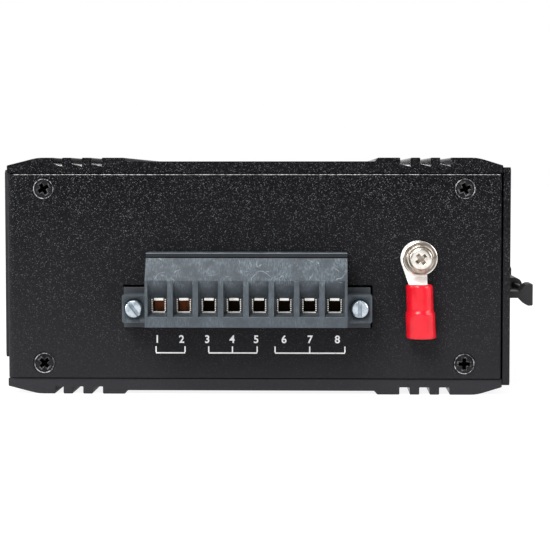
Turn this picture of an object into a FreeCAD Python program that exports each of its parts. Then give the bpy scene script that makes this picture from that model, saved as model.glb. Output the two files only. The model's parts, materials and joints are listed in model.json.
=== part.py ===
"""Industrial Ethernet switch for a 35 mm DIN rail, lying on one of its finned sides.

Millimetres.  X runs from the port front (-X) to the rail side (+X), Y from the
terminal end (-Y) to the plain end (+Y), and Z up across the width of the device.
The pieces are worked out about the middle of the case, with Y = 0 on the outside
of the terminal end, and are moved to the frame of the part when they are written.
"""
import FreeCAD, Part
import math
import os

V = FreeCAD.Vector
AXIS_X = V(1, 0, 0)
AXIS_Y = V(0, 1, 0)
AXIS_Z = V(0, 0, 1)

# ---------------------------------------------------------------- case sizes
case_depth = 101.9          # front panel to rail side, X
case_height = 142.0         # terminal end to plain end, Y
sheet = 1.2                 # folded steel sheet
bend_radius = 1.6           # outside of a fold beside the front panel
rear_bend_radius = 0.6      # outside of a fold beside the rear plate
seam = 0.15                 # gap between the shell and a side cover

# ---------------------------------------------------------------- side covers
cover_crest = 3.4           # crest of the fins above the shell's edge
cover_edge = 1.8            # cover above the shell's edge at its two long edges
cover_middle = 2.65         # flat middle above the shell's edge
front_slope_length = 6.3    # run of the slope beside the port side's long edge
rear_slope_length = 5.2     # the same beside the rear plate
slope_radius = 9.0          # between a slope and the crest
groove_depth = 1.5
groove_width = 2.1
outer_groove_width = 1.65   # outermost groove on the port side
groove_pitch = 4.1
groove_count = 3
groove_round = 0.25         # corners of the fins
middle_half = 25.5          # half width of the flat middle
middle_chamfer = 0.65
groove_start = 30.7         # from the middle of the pattern to the first groove
groove_shift = -0.6         # the pattern's middle, from the middle of the cover
cover_setback = 0.4         # cover's cut end behind the end panel
port_wall_radius = 3.2      # round end of a screw port
screw_port_depth = 9.0

# ---------------------------------------------------------------- end screws
end_screw_x = 43.4          # from the middle of the case
end_screw_inset = 2.995     # from the shell's edge to an end screw's axis
end_screw_radius = 1.25     # M2.5
end_screw_head = 2.15
end_screw_length = 8.0
screw_gap = 0.05            # round a screw in its hole
recess_turns = (27.0, 45.0, 22.0, 0.0)

# ---------------------------------------------------------------- rear plate
rear_gap = 0.3              # between the shell and the rear plate, taken up by a gasket
rear_thickness = 1.45
rear_overhang = 1.425       # rear plate beyond the shell's edge
corner_radius = 1.0
return_flange = 10.0        # shell's flange that the rear plate is screwed to
rear_screw_inset = 5.6      # from the outside of an end panel
rear_screw_z = 14.0
rear_screw_radius = 1.5     # M3
rear_screw_head = 2.75
rear_screw_length = 5.0
wall_hole_radius = 1.65     # plain holes for a wall bracket's M3 screws
wall_hole_inset = 15.0      # from the outside of an end panel
wall_hole_z = 30.0          # spacing across the case

# ---------------------------------------------------------------- port plate
port_plate_thickness = 1.0
port_plate_margin = 2.95    # how much narrower it is than the shell
port_plate_rise = 0.45      # its middle above the middle of the port block
port_plate_inset = 3.7      # from the outside of an end panel

# ---------------------------------------------------------------- circuit board
board_thickness = 1.6
standoff_height = 8.925     # from the lower cover's skin to the board
board_edge = 3.0            # from an end panel's outside to the board
board_rear = 47.0
board_front = -47.6
standoff_inset = 12.0
standoff_x = 32.0
standoff_beside_cages = 2.0  # X of the standoff beside the module cages
standoff_radius = 2.75
board_screw_radius = 1.5
board_screw_head = 2.8
board_screw_head_height = 1.8
board_screw_length = 6.0

# ---------------------------------------------------------------- ports
port_columns = 4
port_pitch = 14.0
port_width = 11.8
port_height = 8.4
port_depth = 13.0
port_rows = (5.4, 19.8)     # height of a port's middle above the board
port_block_height = 25.2
port_head_room = 0.28       # between the port block and the cover's screw ports
port_block_depth = 24.0
port_side_wall = 1.0        # shield and wall outside the end columns
shield_sheet = 0.4
notch_width = 6.0           # latch notch of a port
notch_height = 1.6
panel_play = 0.25           # round a port in the panel

cage_count = 2
cage_width = 14.6
cage_height = 9.9
cage_length = 47.0
cage_sheet = 0.5
cage_pitch = 16.0

guide_count = 6
guide_radius = 1.0
guide_pitch = 4.2
guide_height = 4.0          # above the board
holder_depth = 5.0

# How the free length of the front panel is shared out, from the terminal end on.
share_before_guides = 0.411
share_before_ports = 0.247
share_before_cages = 0.138

# ---------------------------------------------------------------- terminal block
pitch = 5.08
poles = 8
terminal_x = -1.15
terminal_rise = 4.45        # axis of the pins and flange screws, above the board
header_shift = -0.2         # header's middle, from the middle of the poles
header_below = 4.3          # header's underside, below that axis
header_height = 8.3
header_proud = 0.8          # rim in front of the end panel
header_depth = 12.0
header_wall = 1.0
window_play = 0.45
pin_side = 1.0              # square pins
pin_tip = 1.6               # front of the pins, behind the outside of the end panel
pin_hole_radius = 0.78
pin_tail = 1.0              # pin below the board
nut_side = 4.0              # square nuts in the header's flanges
nut_thickness = 2.0
nut_start = 3.0
nut_play = 0.02

plug_front = 10.5           # front of the plug, out from the end panel
plug_below = 3.5            # plug's underside, below the axis
slope_foot_rise = 5.96      # lower edge of the slanted marking face, above the axis
slope_top_rise = 10.31
plug_slope_run = 3.0
brow_groove = 0.28          # groove between the slanted face and the plug's top edge
brow_groove_depth = 0.6
plug_rise = 11.32           # plug's top, above the axis
plug_tongue = 7.0           # length inside the header
tongue_gap = 0.15
entry_wall = 1.1
entry_drop = 1.4            # entry's floor at the plug's front, below the axis
entry_funnel = 3.3
clamp_drop = 0.67           # clamp's floor, below the axis
clamp_rise = 2.24           # underside of the clamp's top, above the axis
cage_inner_width = 2.6
clamp_wall = 0.3
clamp_length = 5.5
clamp_play = 0.05
strip_room = 0.7            # room for the contact strip behind a clamp
strip_thickness = 0.5
clamp_tip_radius = 0.92     # screw's tip inside the clamp
clamp_tip_length = 0.8
clamp_head_radius = 1.5
clamp_head_height = 1.5
clamp_slot_half = 0.25
clamp_slot_floor = 0.9
driver_hole_radius = 1.75
driver_hole_front = 5.7     # screw's axis, back from the plug's front
flange_front = 6.0          # front of the flanges, out from the end panel
flange_rise = 2.85          # flange's top, above the axis
flange_below = 2.95
flange_corner = 0.5
flange_screw_head = 1.75
flange_screw_radius = 1.2
flange_head_height = 1.6
flange_slot_half = 0.4
flange_slot_floor = 0.7
flange_screw_reach = 5.5    # behind the end panel

# ---------------------------------------------------------------- earth terminal
earth_x = 34.2
earth_z = 3.8
earth_screw_radius = 1.5    # M3
earth_head_radius = 2.5
earth_head_height = 2.0
earth_screw_length = 7.0
flat_washer_radius = 3.6
flat_washer_thickness = 0.5
lock_washer_radius = 2.95
lock_washer_thickness = 0.75
lock_washer_split = 0.5
tongue_radius = 3.65
tongue_thickness = 0.8
tongue_shift = 0.37         # ring's middle, towards the ports from the screw's axis
tongue_hole_radius = 2.1
neck_left = 2.4             # neck's edges beside the screw's axis, where the sleeve starts
neck_right = 1.44
neck_inner_half = 1.6       # half width of the neck inside the sleeve
neck_offset = 1.3           # how far the neck steps out from the end panel
neck_bend = 3.8             # where the step starts, below the screw's axis
sleeve_start = 5.2          # from the screw's axis down to the sleeve
sleeve_length = 11.0
sleeve_shift = 0.33         # sleeve's axis, towards the ports from the screw's axis
sleeve_round = 0.4
sleeve_step = 5.5
sleeve_radius = 2.75
sleeve_flare_radius = 2.95
sleeve_bore_radius = 2.15
barrel_radius = 2.1
barrel_bore_radius = 1.45
barrel_length = 6.0
barrel_drop = 1.2           # from the sleeve's start to the barrel
barrel_floor = 0.8          # solid end of the barrel
sleeve_off_face = 3.1       # axis of the sleeve, out from the end panel
earth_nut_radius = 2.7
earth_nut_height = 3.0

# ---------------------------------------------------------------- rail clip
rail_width = 35.0           # top-hat rail, 35 mm x 7.5 mm
rail_flange = 1.0
clip_z = -3.26              # clip's middle, from the middle of the case
clip_thickness = 2.6
clip_width = 18.0
clip_near = 45.0            # clip's ends, from the middle of the rail
clip_far = 30.5
clip_corner = 2.0
hook_reach = 1.8            # lip over the rail's flange
hook_play = 0.2
hook_length = 5.0
fixed_hook_thickness = 2.4
barrel_outer = 1.6          # spring barrel
barrel_inner = 1.25
barrel_height = 3.8         # its axis, out from the rear plate
spring_barrel_length = 14.0
barrel_end_wall = 1.2
latch_rod_radius = 0.6
latch_gap = 0.15
latch_half = 3.4            # half width of the latch's hook block
latch_corner = 1.0
latch_tongue = 1.0          # side tongues that keep the latch in the clip
latch_travel = 4.0
latch_block_length = 7.5    # from the latch's block to the rail's near edge
latch_reach = 5.2           # top of the latch's hook, out from the rear plate
tab_start = 5.0
tab_length = 6.0
tab_drop = 0.74             # pull tab's middle, below the clip's middle
tab_neck_half = 0.7
tab_neck_reach = 2.4
tab_flare_half = 2.05
tab_flare_reach = 3.75
tab_head_half = 2.3
tab_head_reach = 4.3
tab_reach = 5.25
tab_round = 0.35
shoulder_to_block = 9.0
shoulder_length = 1.5
shoulder_radius = 1.15
spring_wire = 0.17          # radius of the wire
spring_radius = 1.0
spring_turns = 9
clip_screw_radius = 1.5
clip_screw_head = 2.75
clip_screw_length = 4.6
clip_screw_places = ((-39.0, -5.6), (-39.0, 5.6), (26.2, 0.0))   # from the rail's and the clip's middles

# ---------------------------------------------------------------- parts on the board
chip_x = 0.0
chip_side = 20.0
chip_thickness = 1.6
pad_thickness = 1.0
heat_block_side = 24.0
line_transformer_x = -19.5
line_transformer_size = (9.6, 12.0, 6.0)
transformer_x = 27.0
transformer_share = 0.225   # places along Y, as shares of the case's height
transformer_core = (17.0, 20.0, 14.0)
transformer_bobbin = (12.0, 24.0, 10.0)
relay_x = -16.0
relay_share = 0.1725
relay_size = (10.0, 15.0, 11.5)
inductor_x = 6.0
inductor_share = 0.211
inductor_size = (12.0, 12.0, 7.0)
inductor_corner = 2.0
capacitor_count = 3
capacitor_x = 33.0
capacitor_share = 0.465     # the middle one
capacitor_pitch = 12.0
capacitor_radius = 5.0
capacitor_height = 16.0

# ---------------------------------------------------------------- places
half_depth = case_depth / 2
shell_width = (standoff_height + board_thickness + port_block_height + port_head_room
               + port_wall_radius + end_screw_inset - seam)
half_shell = shell_width / 2
cover_under = half_shell + seam
crest = half_shell + cover_crest
end_screw_z = half_shell - end_screw_inset
rear_width = shell_width + 2 * rear_overhang
wall_hole_y = case_height - 2 * wall_hole_inset
board_under = -cover_under + standoff_height
board_top = board_under + board_thickness
panel_out = -half_depth
plate_out = panel_out - port_plate_thickness
rear_in = half_depth + rear_gap
cover_rear = rear_in - seam / 2
rear_out = rear_in + rear_thickness
fixed_reach = clip_thickness + rail_flange + hook_play + fixed_hook_thickness
clip_out = rear_out + max(latch_reach, tab_reach, barrel_height + barrel_outer, fixed_reach)
port_block_width = port_columns * port_pitch + 2 * port_side_wall
port_plate_width = shell_width - port_plate_margin
port_plate_middle = board_top + port_block_height / 2 + port_plate_rise
guides_length = (guide_count - 1) * guide_pitch + 2 * guide_radius
cages_length = (cage_count - 1) * cage_pitch + cage_width
free_length = case_height - guides_length - port_block_width - cages_length
guide_first = share_before_guides * free_length + guide_radius
port_block_start = guide_first - guide_radius + guides_length + share_before_ports * free_length
port_block_middle = port_block_start + port_block_width / 2
cage_first = port_block_start + port_block_width + share_before_cages * free_length + cage_width / 2
flange_screw_z = board_top + terminal_rise
header_bottom = flange_screw_z - header_below
header_top = header_bottom + header_height
plug_bottom = flange_screw_z - plug_below
plug_slope_foot = flange_screw_z + slope_foot_rise
plug_slope_top = flange_screw_z + slope_top_rise
plug_top = flange_screw_z + plug_rise
entry_bottom = flange_screw_z - entry_drop
cage_inner_bottom = flange_screw_z - clamp_drop
cage_inner_top = flange_screw_z + clamp_rise
flange_top = flange_screw_z + flange_rise
flange_bottom = flange_screw_z - flange_below
sleeve_x = earth_x - sleeve_shift
sleeve_top = earth_z - sleeve_start
barrel_top = sleeve_top - barrel_drop
rail_middle = case_height / 2
clip_start = rail_middle - clip_near
clip_end = rail_middle + clip_far
latch_block_start = rail_middle - rail_width / 2 - latch_block_length
shoulder_start = latch_block_start - shoulder_to_block
header_half = (poles + 2) * pitch / 2
plug_half = poles * pitch / 2

part_shift = V(-(plate_out + clip_out) / 2, -(case_height - plug_front) / 2, crest)


# ---------------------------------------------------------------- shape helpers
def block(x0, x1, y0, y1, z0, z1):
    return Part.makeBox(x1 - x0, y1 - y0, z1 - z0, V(x0, y0, z0))


def rod(radius, length, start, axis):
    return Part.makeCylinder(radius, length, start, axis)


def tube(outer, inner, length, start, axis):
    return rod(outer, length, start, axis).cut(rod(inner, length, start, axis))


def prism(corners, sweep):
    """A flat outline, given by its corners in space, swept along a straight line."""
    outline = Part.makePolygon(list(corners) + [corners[0]])
    return Part.Face(outline).extrude(sweep)


def revolve(profile):
    """A profile of (radius, height) corners turned about Z."""
    corners = [V(radius, 0, height) for radius, height in profile]
    outline = Part.makePolygon(corners + [corners[0]])
    return Part.Face(outline).revolve(V(0, 0, 0), AXIS_Z, 360)


def edges_along(shape, axis, wanted):
    """Straight edges parallel to an axis whose middle passes the test."""
    found = []
    for edge in shape.Edges:
        if len(edge.Vertexes) != 2 or edge.Curve.TypeId != "Part::GeomLine":
            continue
        run = edge.Vertexes[1].Point.sub(edge.Vertexes[0].Point)
        if abs(run.normalize().dot(axis)) > 0.999 and wanted(edge.CenterOfMass):
            found.append(edge)
    return found


def round_edges(shape, radius, axis, wanted=lambda middle: True):
    return shape.makeFillet(radius, edges_along(shape, axis, wanted))


def aimed(shape, point, outward, turn=0.0):
    """Moves a piece made along +Z so that its +Z points outward at a point."""
    spin = FreeCAD.Rotation(AXIS_Z, turn)
    aim = FreeCAD.Rotation(AXIS_Z, outward)
    moved = shape.copy()
    moved.Placement = FreeCAD.Placement(point, aim.multiply(spin))
    return moved


def fused(pieces):
    whole = pieces[0].multiFuse(pieces[1:])
    return whole.removeSplitter()


def group(pieces):
    return Part.makeCompound(pieces)


# ---------------------------------------------------------------- fasteners
def cross_recess(reach, top):
    """A cross-shaped driver recess that narrows towards its foot."""
    width = 0.32 * reach
    depth = 0.75 * reach
    foot = 0.35 * reach
    arm = [V(-reach, -width, top), V(reach, -width, top),
           V(foot, -width, top - depth), V(-foot, -width, top - depth)]
    bar = prism(arm, V(0, 2 * width, 0))
    return bar.fuse(aimed(bar, V(0, 0, 0), AXIS_Z, 90))


def countersunk_screw(radius, head, length):
    """Head flush at z = 0, shank pointing down."""
    cone = head - radius
    body = revolve([(0, 0), (head, 0), (head, -0.15), (radius, -0.15 - cone), (radius, -length), (0, -length)])
    return body.cut(cross_recess(0.62 * head, 0))


def countersink(radius, head, depth):
    """Room for a countersunk screw, from just above the face down."""
    cone = head - radius
    wide = head + screw_gap
    hole = radius + screw_gap
    return revolve([(0, 1), (wide, 1), (wide, -0.15), (hole, -0.15 - cone), (hole, -depth), (0, -depth)])


def pan_screw(radius, head, height, length):
    """Domed head standing on z = 0, shank pointing down."""
    shoulder = 0.45 * height
    body = revolve([(0, height), (0.55 * head, height), (0.88 * head, 0.8 * height), (head, shoulder),
                    (head, 0), (radius, 0), (radius, -length), (0, -length)])
    return body.cut(cross_recess(0.5 * head, height))


# ---------------------------------------------------------------- side covers
def grooves(side, outer_width):
    """Grooves on one side of the cover's middle, as pairs of distances; side is -1 or 1."""
    pairs = []
    for index in range(groove_count):
        inner = groove_start + index * groove_pitch
        width = outer_width if index == groove_count - 1 else groove_width
        pairs.append(sorted((groove_shift + side * inner, groove_shift + side * (inner + width))))
    return sorted(pairs)


def cover_profile():
    """Upper outline of a side cover, from its front edge to its rail edge, as (x, z)."""
    floor = crest - groove_depth
    middle = half_shell + cover_middle
    outline = [(-half_depth, half_shell + cover_edge), (-half_depth + front_slope_length, crest)]
    for start, end in grooves(-1, outer_groove_width):
        outline += [(start, crest), (start, floor), (end, floor), (end, crest)]
    outline.append((groove_shift - middle_half - middle_chamfer, crest))
    outline.append((groove_shift - middle_half, middle))
    outline.append((groove_shift + middle_half, middle))
    outline.append((groove_shift + middle_half + middle_chamfer, crest))
    for start, end in grooves(1, groove_width):
        outline += [(start, crest), (start, floor), (end, floor), (end, crest)]
    outline += [(cover_rear - rear_slope_length, crest), (cover_rear, half_shell + cover_edge)]
    return outline


def upper_cover():
    """Extruded aluminium cover with its fins outside and two screw ports inside."""
    outline = cover_profile() + [(cover_rear, cover_under), (-half_depth, cover_under)]
    skin = prism([V(x, cover_setback, z) for x, z in outline], V(0, case_height - 2 * cover_setback, 0))
    shoulders = (-half_depth + front_slope_length, cover_rear - rear_slope_length)
    skin = round_edges(skin, slope_radius, AXIS_Y,
                       lambda middle: middle.z > crest - 0.01 and min(abs(middle.x - x) for x in shoulders) < 0.01)
    fin_edges = [x for pair in grooves(-1, outer_groove_width) + grooves(1, groove_width) for x in pair]
    skin = round_edges(skin, groove_round, AXIS_Y,
                       lambda middle: middle.z > crest - 0.01 and min(abs(middle.x - x) for x in fin_edges) < 0.01)
    pieces = [skin]
    inside = case_height - 2 * sheet
    for x in (-end_screw_x, end_screw_x):
        pieces.append(block(x - port_wall_radius, x + port_wall_radius, sheet, sheet + inside,
                            end_screw_z, cover_under))
        pieces.append(rod(port_wall_radius, inside, V(x, sheet, end_screw_z), AXIS_Y))
    cover = fused(pieces)
    for x in (-end_screw_x, end_screw_x):
        for y in (sheet, case_height - sheet - screw_port_depth):
            bore_start = V(x, y, end_screw_z)
            cover = cover.cut(rod(end_screw_radius + screw_gap, screw_port_depth, bore_start, AXIS_Y))
    return cover


def lower_cover():
    """The same extrusion, turned over."""
    return upper_cover().mirror(V(0, 0, 0), AXIS_Z)


# ---------------------------------------------------------------- folded shell
def end_screw_points():
    """Place, outward direction and recess turn of each end screw."""
    corners = [(-end_screw_x, end_screw_z), (-end_screw_x, -end_screw_z),
               (end_screw_x, end_screw_z), (end_screw_x, -end_screw_z)]
    points = []
    for (x, z), turn in zip(corners, recess_turns):
        points.append((V(x, 0, z), V(0, -1, 0), turn))
        points.append((V(x, case_height, z), V(0, 1, 0), turn))
    return points


def rear_screw_points():
    points = []
    for y in (rear_screw_inset, case_height - rear_screw_inset):
        for z in (-rear_screw_z, rear_screw_z):
            points.append(V(rear_out, y, z))
    return points


def port_openings(play):
    """Cutters for the port block, the module cages and the light guides."""
    reach = 3 * sheet
    x0 = plate_out - reach
    x1 = panel_out + reach
    cutters = [block(x0, x1, port_block_start - play, port_block_start + port_block_width + play,
                     board_top - play, board_top + port_block_height + play)]
    for index in range(cage_count):
        middle = cage_first + index * cage_pitch
        cutters.append(block(x0, x1, middle - cage_width / 2 - play, middle + cage_width / 2 + play,
                             board_top - play, board_top + cage_height + play))
    for y in guide_places():
        cutters.append(rod(guide_radius + play, x1 - x0, V(x0, y, board_top + guide_height), AXIS_X))
    return cutters


def guide_places():
    return [guide_first + index * guide_pitch for index in range(guide_count)]


def front_shell():
    """Front panel and both end panels, folded from one sheet, with flanges for the rear plate."""
    whole = block(-half_depth, half_depth, 0, case_height, -half_shell, half_shell)
    whole = round_edges(whole, bend_radius, AXIS_Z, lambda middle: middle.x < 0)
    whole = round_edges(whole, rear_bend_radius, AXIS_Z, lambda middle: middle.x > 0)
    inner = block(-half_depth + sheet, half_depth - sheet, sheet, case_height - sheet, -half_shell, half_shell)
    inner = round_edges(inner, bend_radius - sheet, AXIS_Z, lambda middle: middle.x < 0)
    rear_window = block(half_depth - 2 * sheet, half_depth + sheet, return_flange, case_height - return_flange,
                        -half_shell, half_shell)
    shell = whole.cut(inner).cut(rear_window)
    cutters = port_openings(panel_play)
    header_x = terminal_x + header_shift
    cutters.append(block(header_x - header_half - seam, header_x + header_half + window_play, -sheet, 2 * sheet,
                         header_bottom - seam, header_top + window_play))
    cutters.append(rod(earth_screw_radius + screw_gap, 4 * sheet, V(earth_x, -sheet, earth_z), AXIS_Y))
    for point, outward, turn in end_screw_points():
        cutters.append(aimed(countersink(end_screw_radius, end_screw_head + 0.2, 2 * sheet), point, outward))
    for point in rear_screw_points():
        hole_start = V(half_depth - 2 * sheet, point.y, point.z)
        cutters.append(rod(rear_screw_radius + screw_gap, 3 * sheet, hole_start, AXIS_X))
    for cutter in cutters:
        shell = shell.cut(cutter)
    return shell


def port_plate():
    """Plate on the front panel that frames the ports."""
    low = port_plate_middle - port_plate_width / 2
    plate = block(plate_out, panel_out, port_plate_inset, case_height - port_plate_inset,
                  low, low + port_plate_width)
    plate = round_edges(plate, corner_radius, AXIS_X)
    for cutter in port_openings(panel_play):
        plate = plate.cut(cutter)
    return plate


def rear_plate():
    half = rear_width / 2
    plate = block(rear_in, rear_out, 0, case_height, -half, half)
    plate = round_edges(plate, corner_radius, AXIS_X)
    dimple = countersink(rear_screw_radius, rear_screw_head, 2 * rear_thickness)
    for point in rear_screw_points():
        plate = plate.cut(aimed(dimple, point, AXIS_X))
    for y in (case_height / 2 - wall_hole_y / 2, case_height / 2 + wall_hole_y / 2):
        for z in (-wall_hole_z / 2, wall_hole_z / 2):
            plate = plate.cut(rod(wall_hole_radius, 2 * rear_thickness, V(rear_in - 0.5, y, z), AXIS_X))
    for point in clip_screw_points():
        hole_start = V(rear_in - rear_thickness / 2, point.y, point.z)
        plate = plate.cut(rod(clip_screw_radius + screw_gap, 2 * rear_thickness, hole_start, AXIS_X))
    return plate


def end_screws():
    screw = countersunk_screw(end_screw_radius, end_screw_head, end_screw_length)
    sunk = 2 * screw_gap
    return group([aimed(screw, point - outward * sunk, outward, turn) for point, outward, turn in end_screw_points()])


def rear_screws():
    screw = countersunk_screw(rear_screw_radius, rear_screw_head, rear_screw_length)
    return group([aimed(screw, point, AXIS_X, 30) for point in rear_screw_points()])


# ---------------------------------------------------------------- rail clip and latch
def rail_edges():
    return rail_middle - rail_width / 2, rail_middle + rail_width / 2


def clip_hook(start, end, lip_start, lip_end, half, reach):
    """A hook: a block between start and end, with a lip over the rail's flange."""
    lip_under = clip_thickness + rail_flange + hook_play
    stem = block(rear_out + clip_thickness, rear_out + reach, start, end, clip_z - half, clip_z + half)
    lip = block(rear_out + lip_under, rear_out + reach, lip_start, lip_end, clip_z - half, clip_z + half)
    return stem.fuse(lip)


def rail_clip():
    """Moulded base with the fixed hook, the latch's slot and the spring barrel."""
    half = clip_width / 2
    base = block(rear_out, rear_out + clip_thickness, clip_start, clip_end, clip_z - half, clip_z + half)
    base = round_edges(base, clip_corner, AXIS_X)
    far_edge = rail_edges()[1]
    hook = clip_hook(far_edge + hook_play, far_edge + hook_length, far_edge - hook_reach,
                     far_edge + hook_play, half, fixed_reach)
    barrel_axis = V(rear_out + barrel_height, clip_start, clip_z)
    barrel = rod(barrel_outer, spring_barrel_length, barrel_axis, AXIS_Y)
    foot = block(rear_out + clip_thickness / 2, rear_out + barrel_height, clip_start,
                 clip_start + spring_barrel_length, clip_z - barrel_outer, clip_z + barrel_outer)
    clip = fused([base, hook, barrel, foot])
    bore_start = barrel_axis + AXIS_Y * barrel_end_wall
    clip = clip.cut(rod(barrel_inner, spring_barrel_length, bore_start, AXIS_Y))
    clip = clip.cut(rod(latch_rod_radius + latch_gap, spring_barrel_length, barrel_axis - AXIS_Y, AXIS_Y))
    slot_start = latch_block_start - latch_travel - 2 * latch_gap
    slot_end = rail_edges()[0] + latch_gap
    slot_half = latch_half + latch_gap
    slot_foot = rear_in
    clip = clip.cut(block(slot_foot, rear_out + barrel_height + barrel_outer, slot_start, slot_end,
                          clip_z - slot_half, clip_z + slot_half))
    wide = slot_half + latch_tongue
    clip = clip.cut(block(slot_foot, rear_out + latch_gap * 2 + latch_tongue, slot_start, slot_end,
                          clip_z - wide, clip_z + wide))
    dimple = countersink(clip_screw_radius, clip_screw_head, 3 * clip_thickness)
    for point in clip_screw_points():
        clip = clip.cut(aimed(dimple, point, AXIS_X))
    return clip


def clip_screw_points():
    return [V(rear_out + clip_thickness, rail_middle + along, clip_z + across)
            for along, across in clip_screw_places]


def pull_tab():
    """Bow-tie pull tab, narrow where it leaves the rear plate."""
    foot = rear_out + latch_gap
    corners = [(foot, tab_neck_half), (rear_out + tab_neck_reach, tab_neck_half),
               (rear_out + tab_flare_reach, tab_flare_half), (rear_out + tab_head_reach, tab_head_half),
               (rear_out + tab_reach, tab_head_half)]
    outline = corners + [(x, -z) for x, z in reversed(corners)]
    middle = clip_z - tab_drop
    tab = prism([V(x, tab_start, middle + z) for x, z in outline], V(0, tab_length, 0))
    return round_edges(tab, tab_round, AXIS_Y, lambda spot: spot.x > rear_out + tab_neck_reach - tab_round)


def rail_latch():
    """Sliding latch: pull tab, rod through the spring, and the hook that grips the rail."""
    foot = rear_out + latch_gap
    rod_start = tab_start + tab_length / 2
    axis_x = rear_out + barrel_height
    stem = rod(latch_rod_radius, latch_block_start + latch_gap - rod_start, V(axis_x, rod_start, clip_z), AXIS_Y)
    shoulder = rod(shoulder_radius, shoulder_length, V(axis_x, shoulder_start, clip_z), AXIS_Y)
    near_edge = rail_edges()[0]
    lip_under = clip_thickness + rail_flange + hook_play
    hook = block(foot, rear_out + latch_reach, latch_block_start, near_edge, clip_z - latch_half, clip_z + latch_half)
    lip = block(rear_out + lip_under, rear_out + latch_reach, near_edge, near_edge + hook_reach,
                clip_z - latch_half, clip_z + latch_half)
    hook = round_edges(hook.fuse(lip).removeSplitter(), latch_corner, AXIS_Y,
                       lambda middle: middle.x > rear_out + latch_reach - latch_gap)
    tongue_half = latch_half + latch_tongue
    tongues = block(foot, foot + latch_tongue, latch_block_start, near_edge,
                    clip_z - tongue_half, clip_z + tongue_half)
    return fused([pull_tab(), stem, shoulder, hook, tongues])


def latch_spring():
    """Compression spring between the barrel's end wall and the latch's shoulder."""
    end_play = 0.02
    start = clip_start + barrel_end_wall + spring_wire + end_play
    length = shoulder_start - start - spring_wire - end_play
    helix = Part.makeHelix(length / spring_turns, length, spring_radius)
    wire = Part.Wire(helix.Edges)
    ring = Part.Wire(Part.makeCircle(spring_wire, V(spring_radius, 0, 0), AXIS_Y))
    coil = wire.makePipeShell([ring], True, True)
    return aimed(coil, V(rear_out + barrel_height, start, clip_z), AXIS_Y)


def clip_screws():
    screw = countersunk_screw(clip_screw_radius, clip_screw_head, clip_screw_length)
    return group([aimed(screw, point, AXIS_X, 15) for point in clip_screw_points()])


# ---------------------------------------------------------------- circuit board
def standoff_points():
    far = case_height - standoff_inset
    places = [(-standoff_x, standoff_inset), (standoff_x, standoff_inset),
              (standoff_beside_cages, far), (standoff_x, far)]
    return [V(x, y, board_under) for x, y in places]


def circuit_board():
    board = block(board_front, board_rear, board_edge, case_height - board_edge, board_under, board_top)
    board = round_edges(board, corner_radius, AXIS_Z)
    for point in standoff_points():
        hole_start = point - AXIS_Z * board_thickness
        board = board.cut(rod(board_screw_radius + screw_gap, 3 * board_thickness, hole_start, AXIS_Z))
    for x in pole_places():
        foot = V(x, pin_drop() - pin_side / 2, board_under - board_thickness)
        board = board.cut(rod(pin_hole_radius, 3 * board_thickness, foot, AXIS_Z))
    return board


def hexagon(radius, height, base):
    corners = []
    for index in range(6):
        angle = math.radians(60 * index)
        corners.append(base + V(radius * math.cos(angle), radius * math.sin(angle), 0))
    return prism(corners, V(0, 0, height))


def board_standoffs():
    pieces = []
    for point in standoff_points():
        height = point.z + cover_under
        foot = V(point.x, point.y, -cover_under)
        bore = rod(board_screw_radius + screw_gap, height, foot, AXIS_Z)
        pieces.append(hexagon(standoff_radius, height, foot).cut(bore))
    return group(pieces)


def board_screws():
    screw = pan_screw(board_screw_radius, board_screw_head, board_screw_head_height, board_screw_length)
    return group([aimed(screw, V(point.x, point.y, board_top), AXIS_Z, 20) for point in standoff_points()])


# ---------------------------------------------------------------- ports
def port_shield():
    """Sheet steel can round the port block, open at the front and below."""
    x0 = plate_out
    x1 = x0 + port_block_depth
    y0 = port_block_start
    y1 = y0 + port_block_width
    top = board_top + port_block_height
    outer = block(x0, x1, y0, y1, board_top, top)
    inner = block(x0 - 1, x1 - shield_sheet, y0 + shield_sheet, y1 - shield_sheet, board_top - 1, top - shield_sheet)
    return outer.cut(inner)


def port_module(column):
    """Moulded body of one column, with an upper and a lower port."""
    middle = port_block_start + port_side_wall + (column + 0.5) * port_pitch
    half = port_pitch / 2
    low = middle - half - (port_side_wall - shield_sheet if column == 0 else 0)
    high = middle + half + (port_side_wall - shield_sheet if column == port_columns - 1 else 0)
    x0 = plate_out + 0.3
    body = block(x0, plate_out + port_block_depth - shield_sheet, low, high, board_top,
                 board_top + port_block_height - shield_sheet)
    for height, notch_side in zip(port_rows, (1, -1)):
        z = board_top + height
        opening = block(x0 - 1, x0 + port_depth, middle - port_width / 2, middle + port_width / 2,
                        z - port_height / 2, z + port_height / 2)
        notch_middle = z + notch_side * (port_height + notch_height) / 2
        notch = block(x0 - 1, x0 + port_depth * 0.6, middle - notch_width / 2, middle + notch_width / 2,
                      notch_middle - notch_height / 2, notch_middle + notch_height / 2)
        body = body.cut(opening.fuse(notch))
    return body


def module_cage(index):
    """Sheet metal cage for one pluggable optical module."""
    middle = cage_first + index * cage_pitch
    x0 = plate_out
    outer = block(x0, x0 + cage_length, middle - cage_width / 2, middle + cage_width / 2,
                  board_top, board_top + cage_height)
    inner = block(x0 - 1, x0 + cage_length - cage_sheet, middle - cage_width / 2 + cage_sheet,
                  middle + cage_width / 2 - cage_sheet, board_top + cage_sheet, board_top + cage_height - cage_sheet)
    return outer.cut(inner)


def light_guides():
    start = plate_out + 0.2
    guides = []
    for y in guide_places():
        lens = rod(guide_radius, holder_start() - start, V(start, y, board_top + guide_height), AXIS_X)
        guides.append(lens)
    return group(guides)


def holder_start():
    return board_front + 2.0


def lamp_holder():
    """Moulded strip on the board that holds the lamps behind the light guides."""
    places = guide_places()
    margin = guide_pitch / 2
    return block(holder_start(), holder_start() + holder_depth, places[0] - margin, places[-1] + margin,
                 board_top, board_top + guide_height + 2 * guide_radius)


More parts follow.
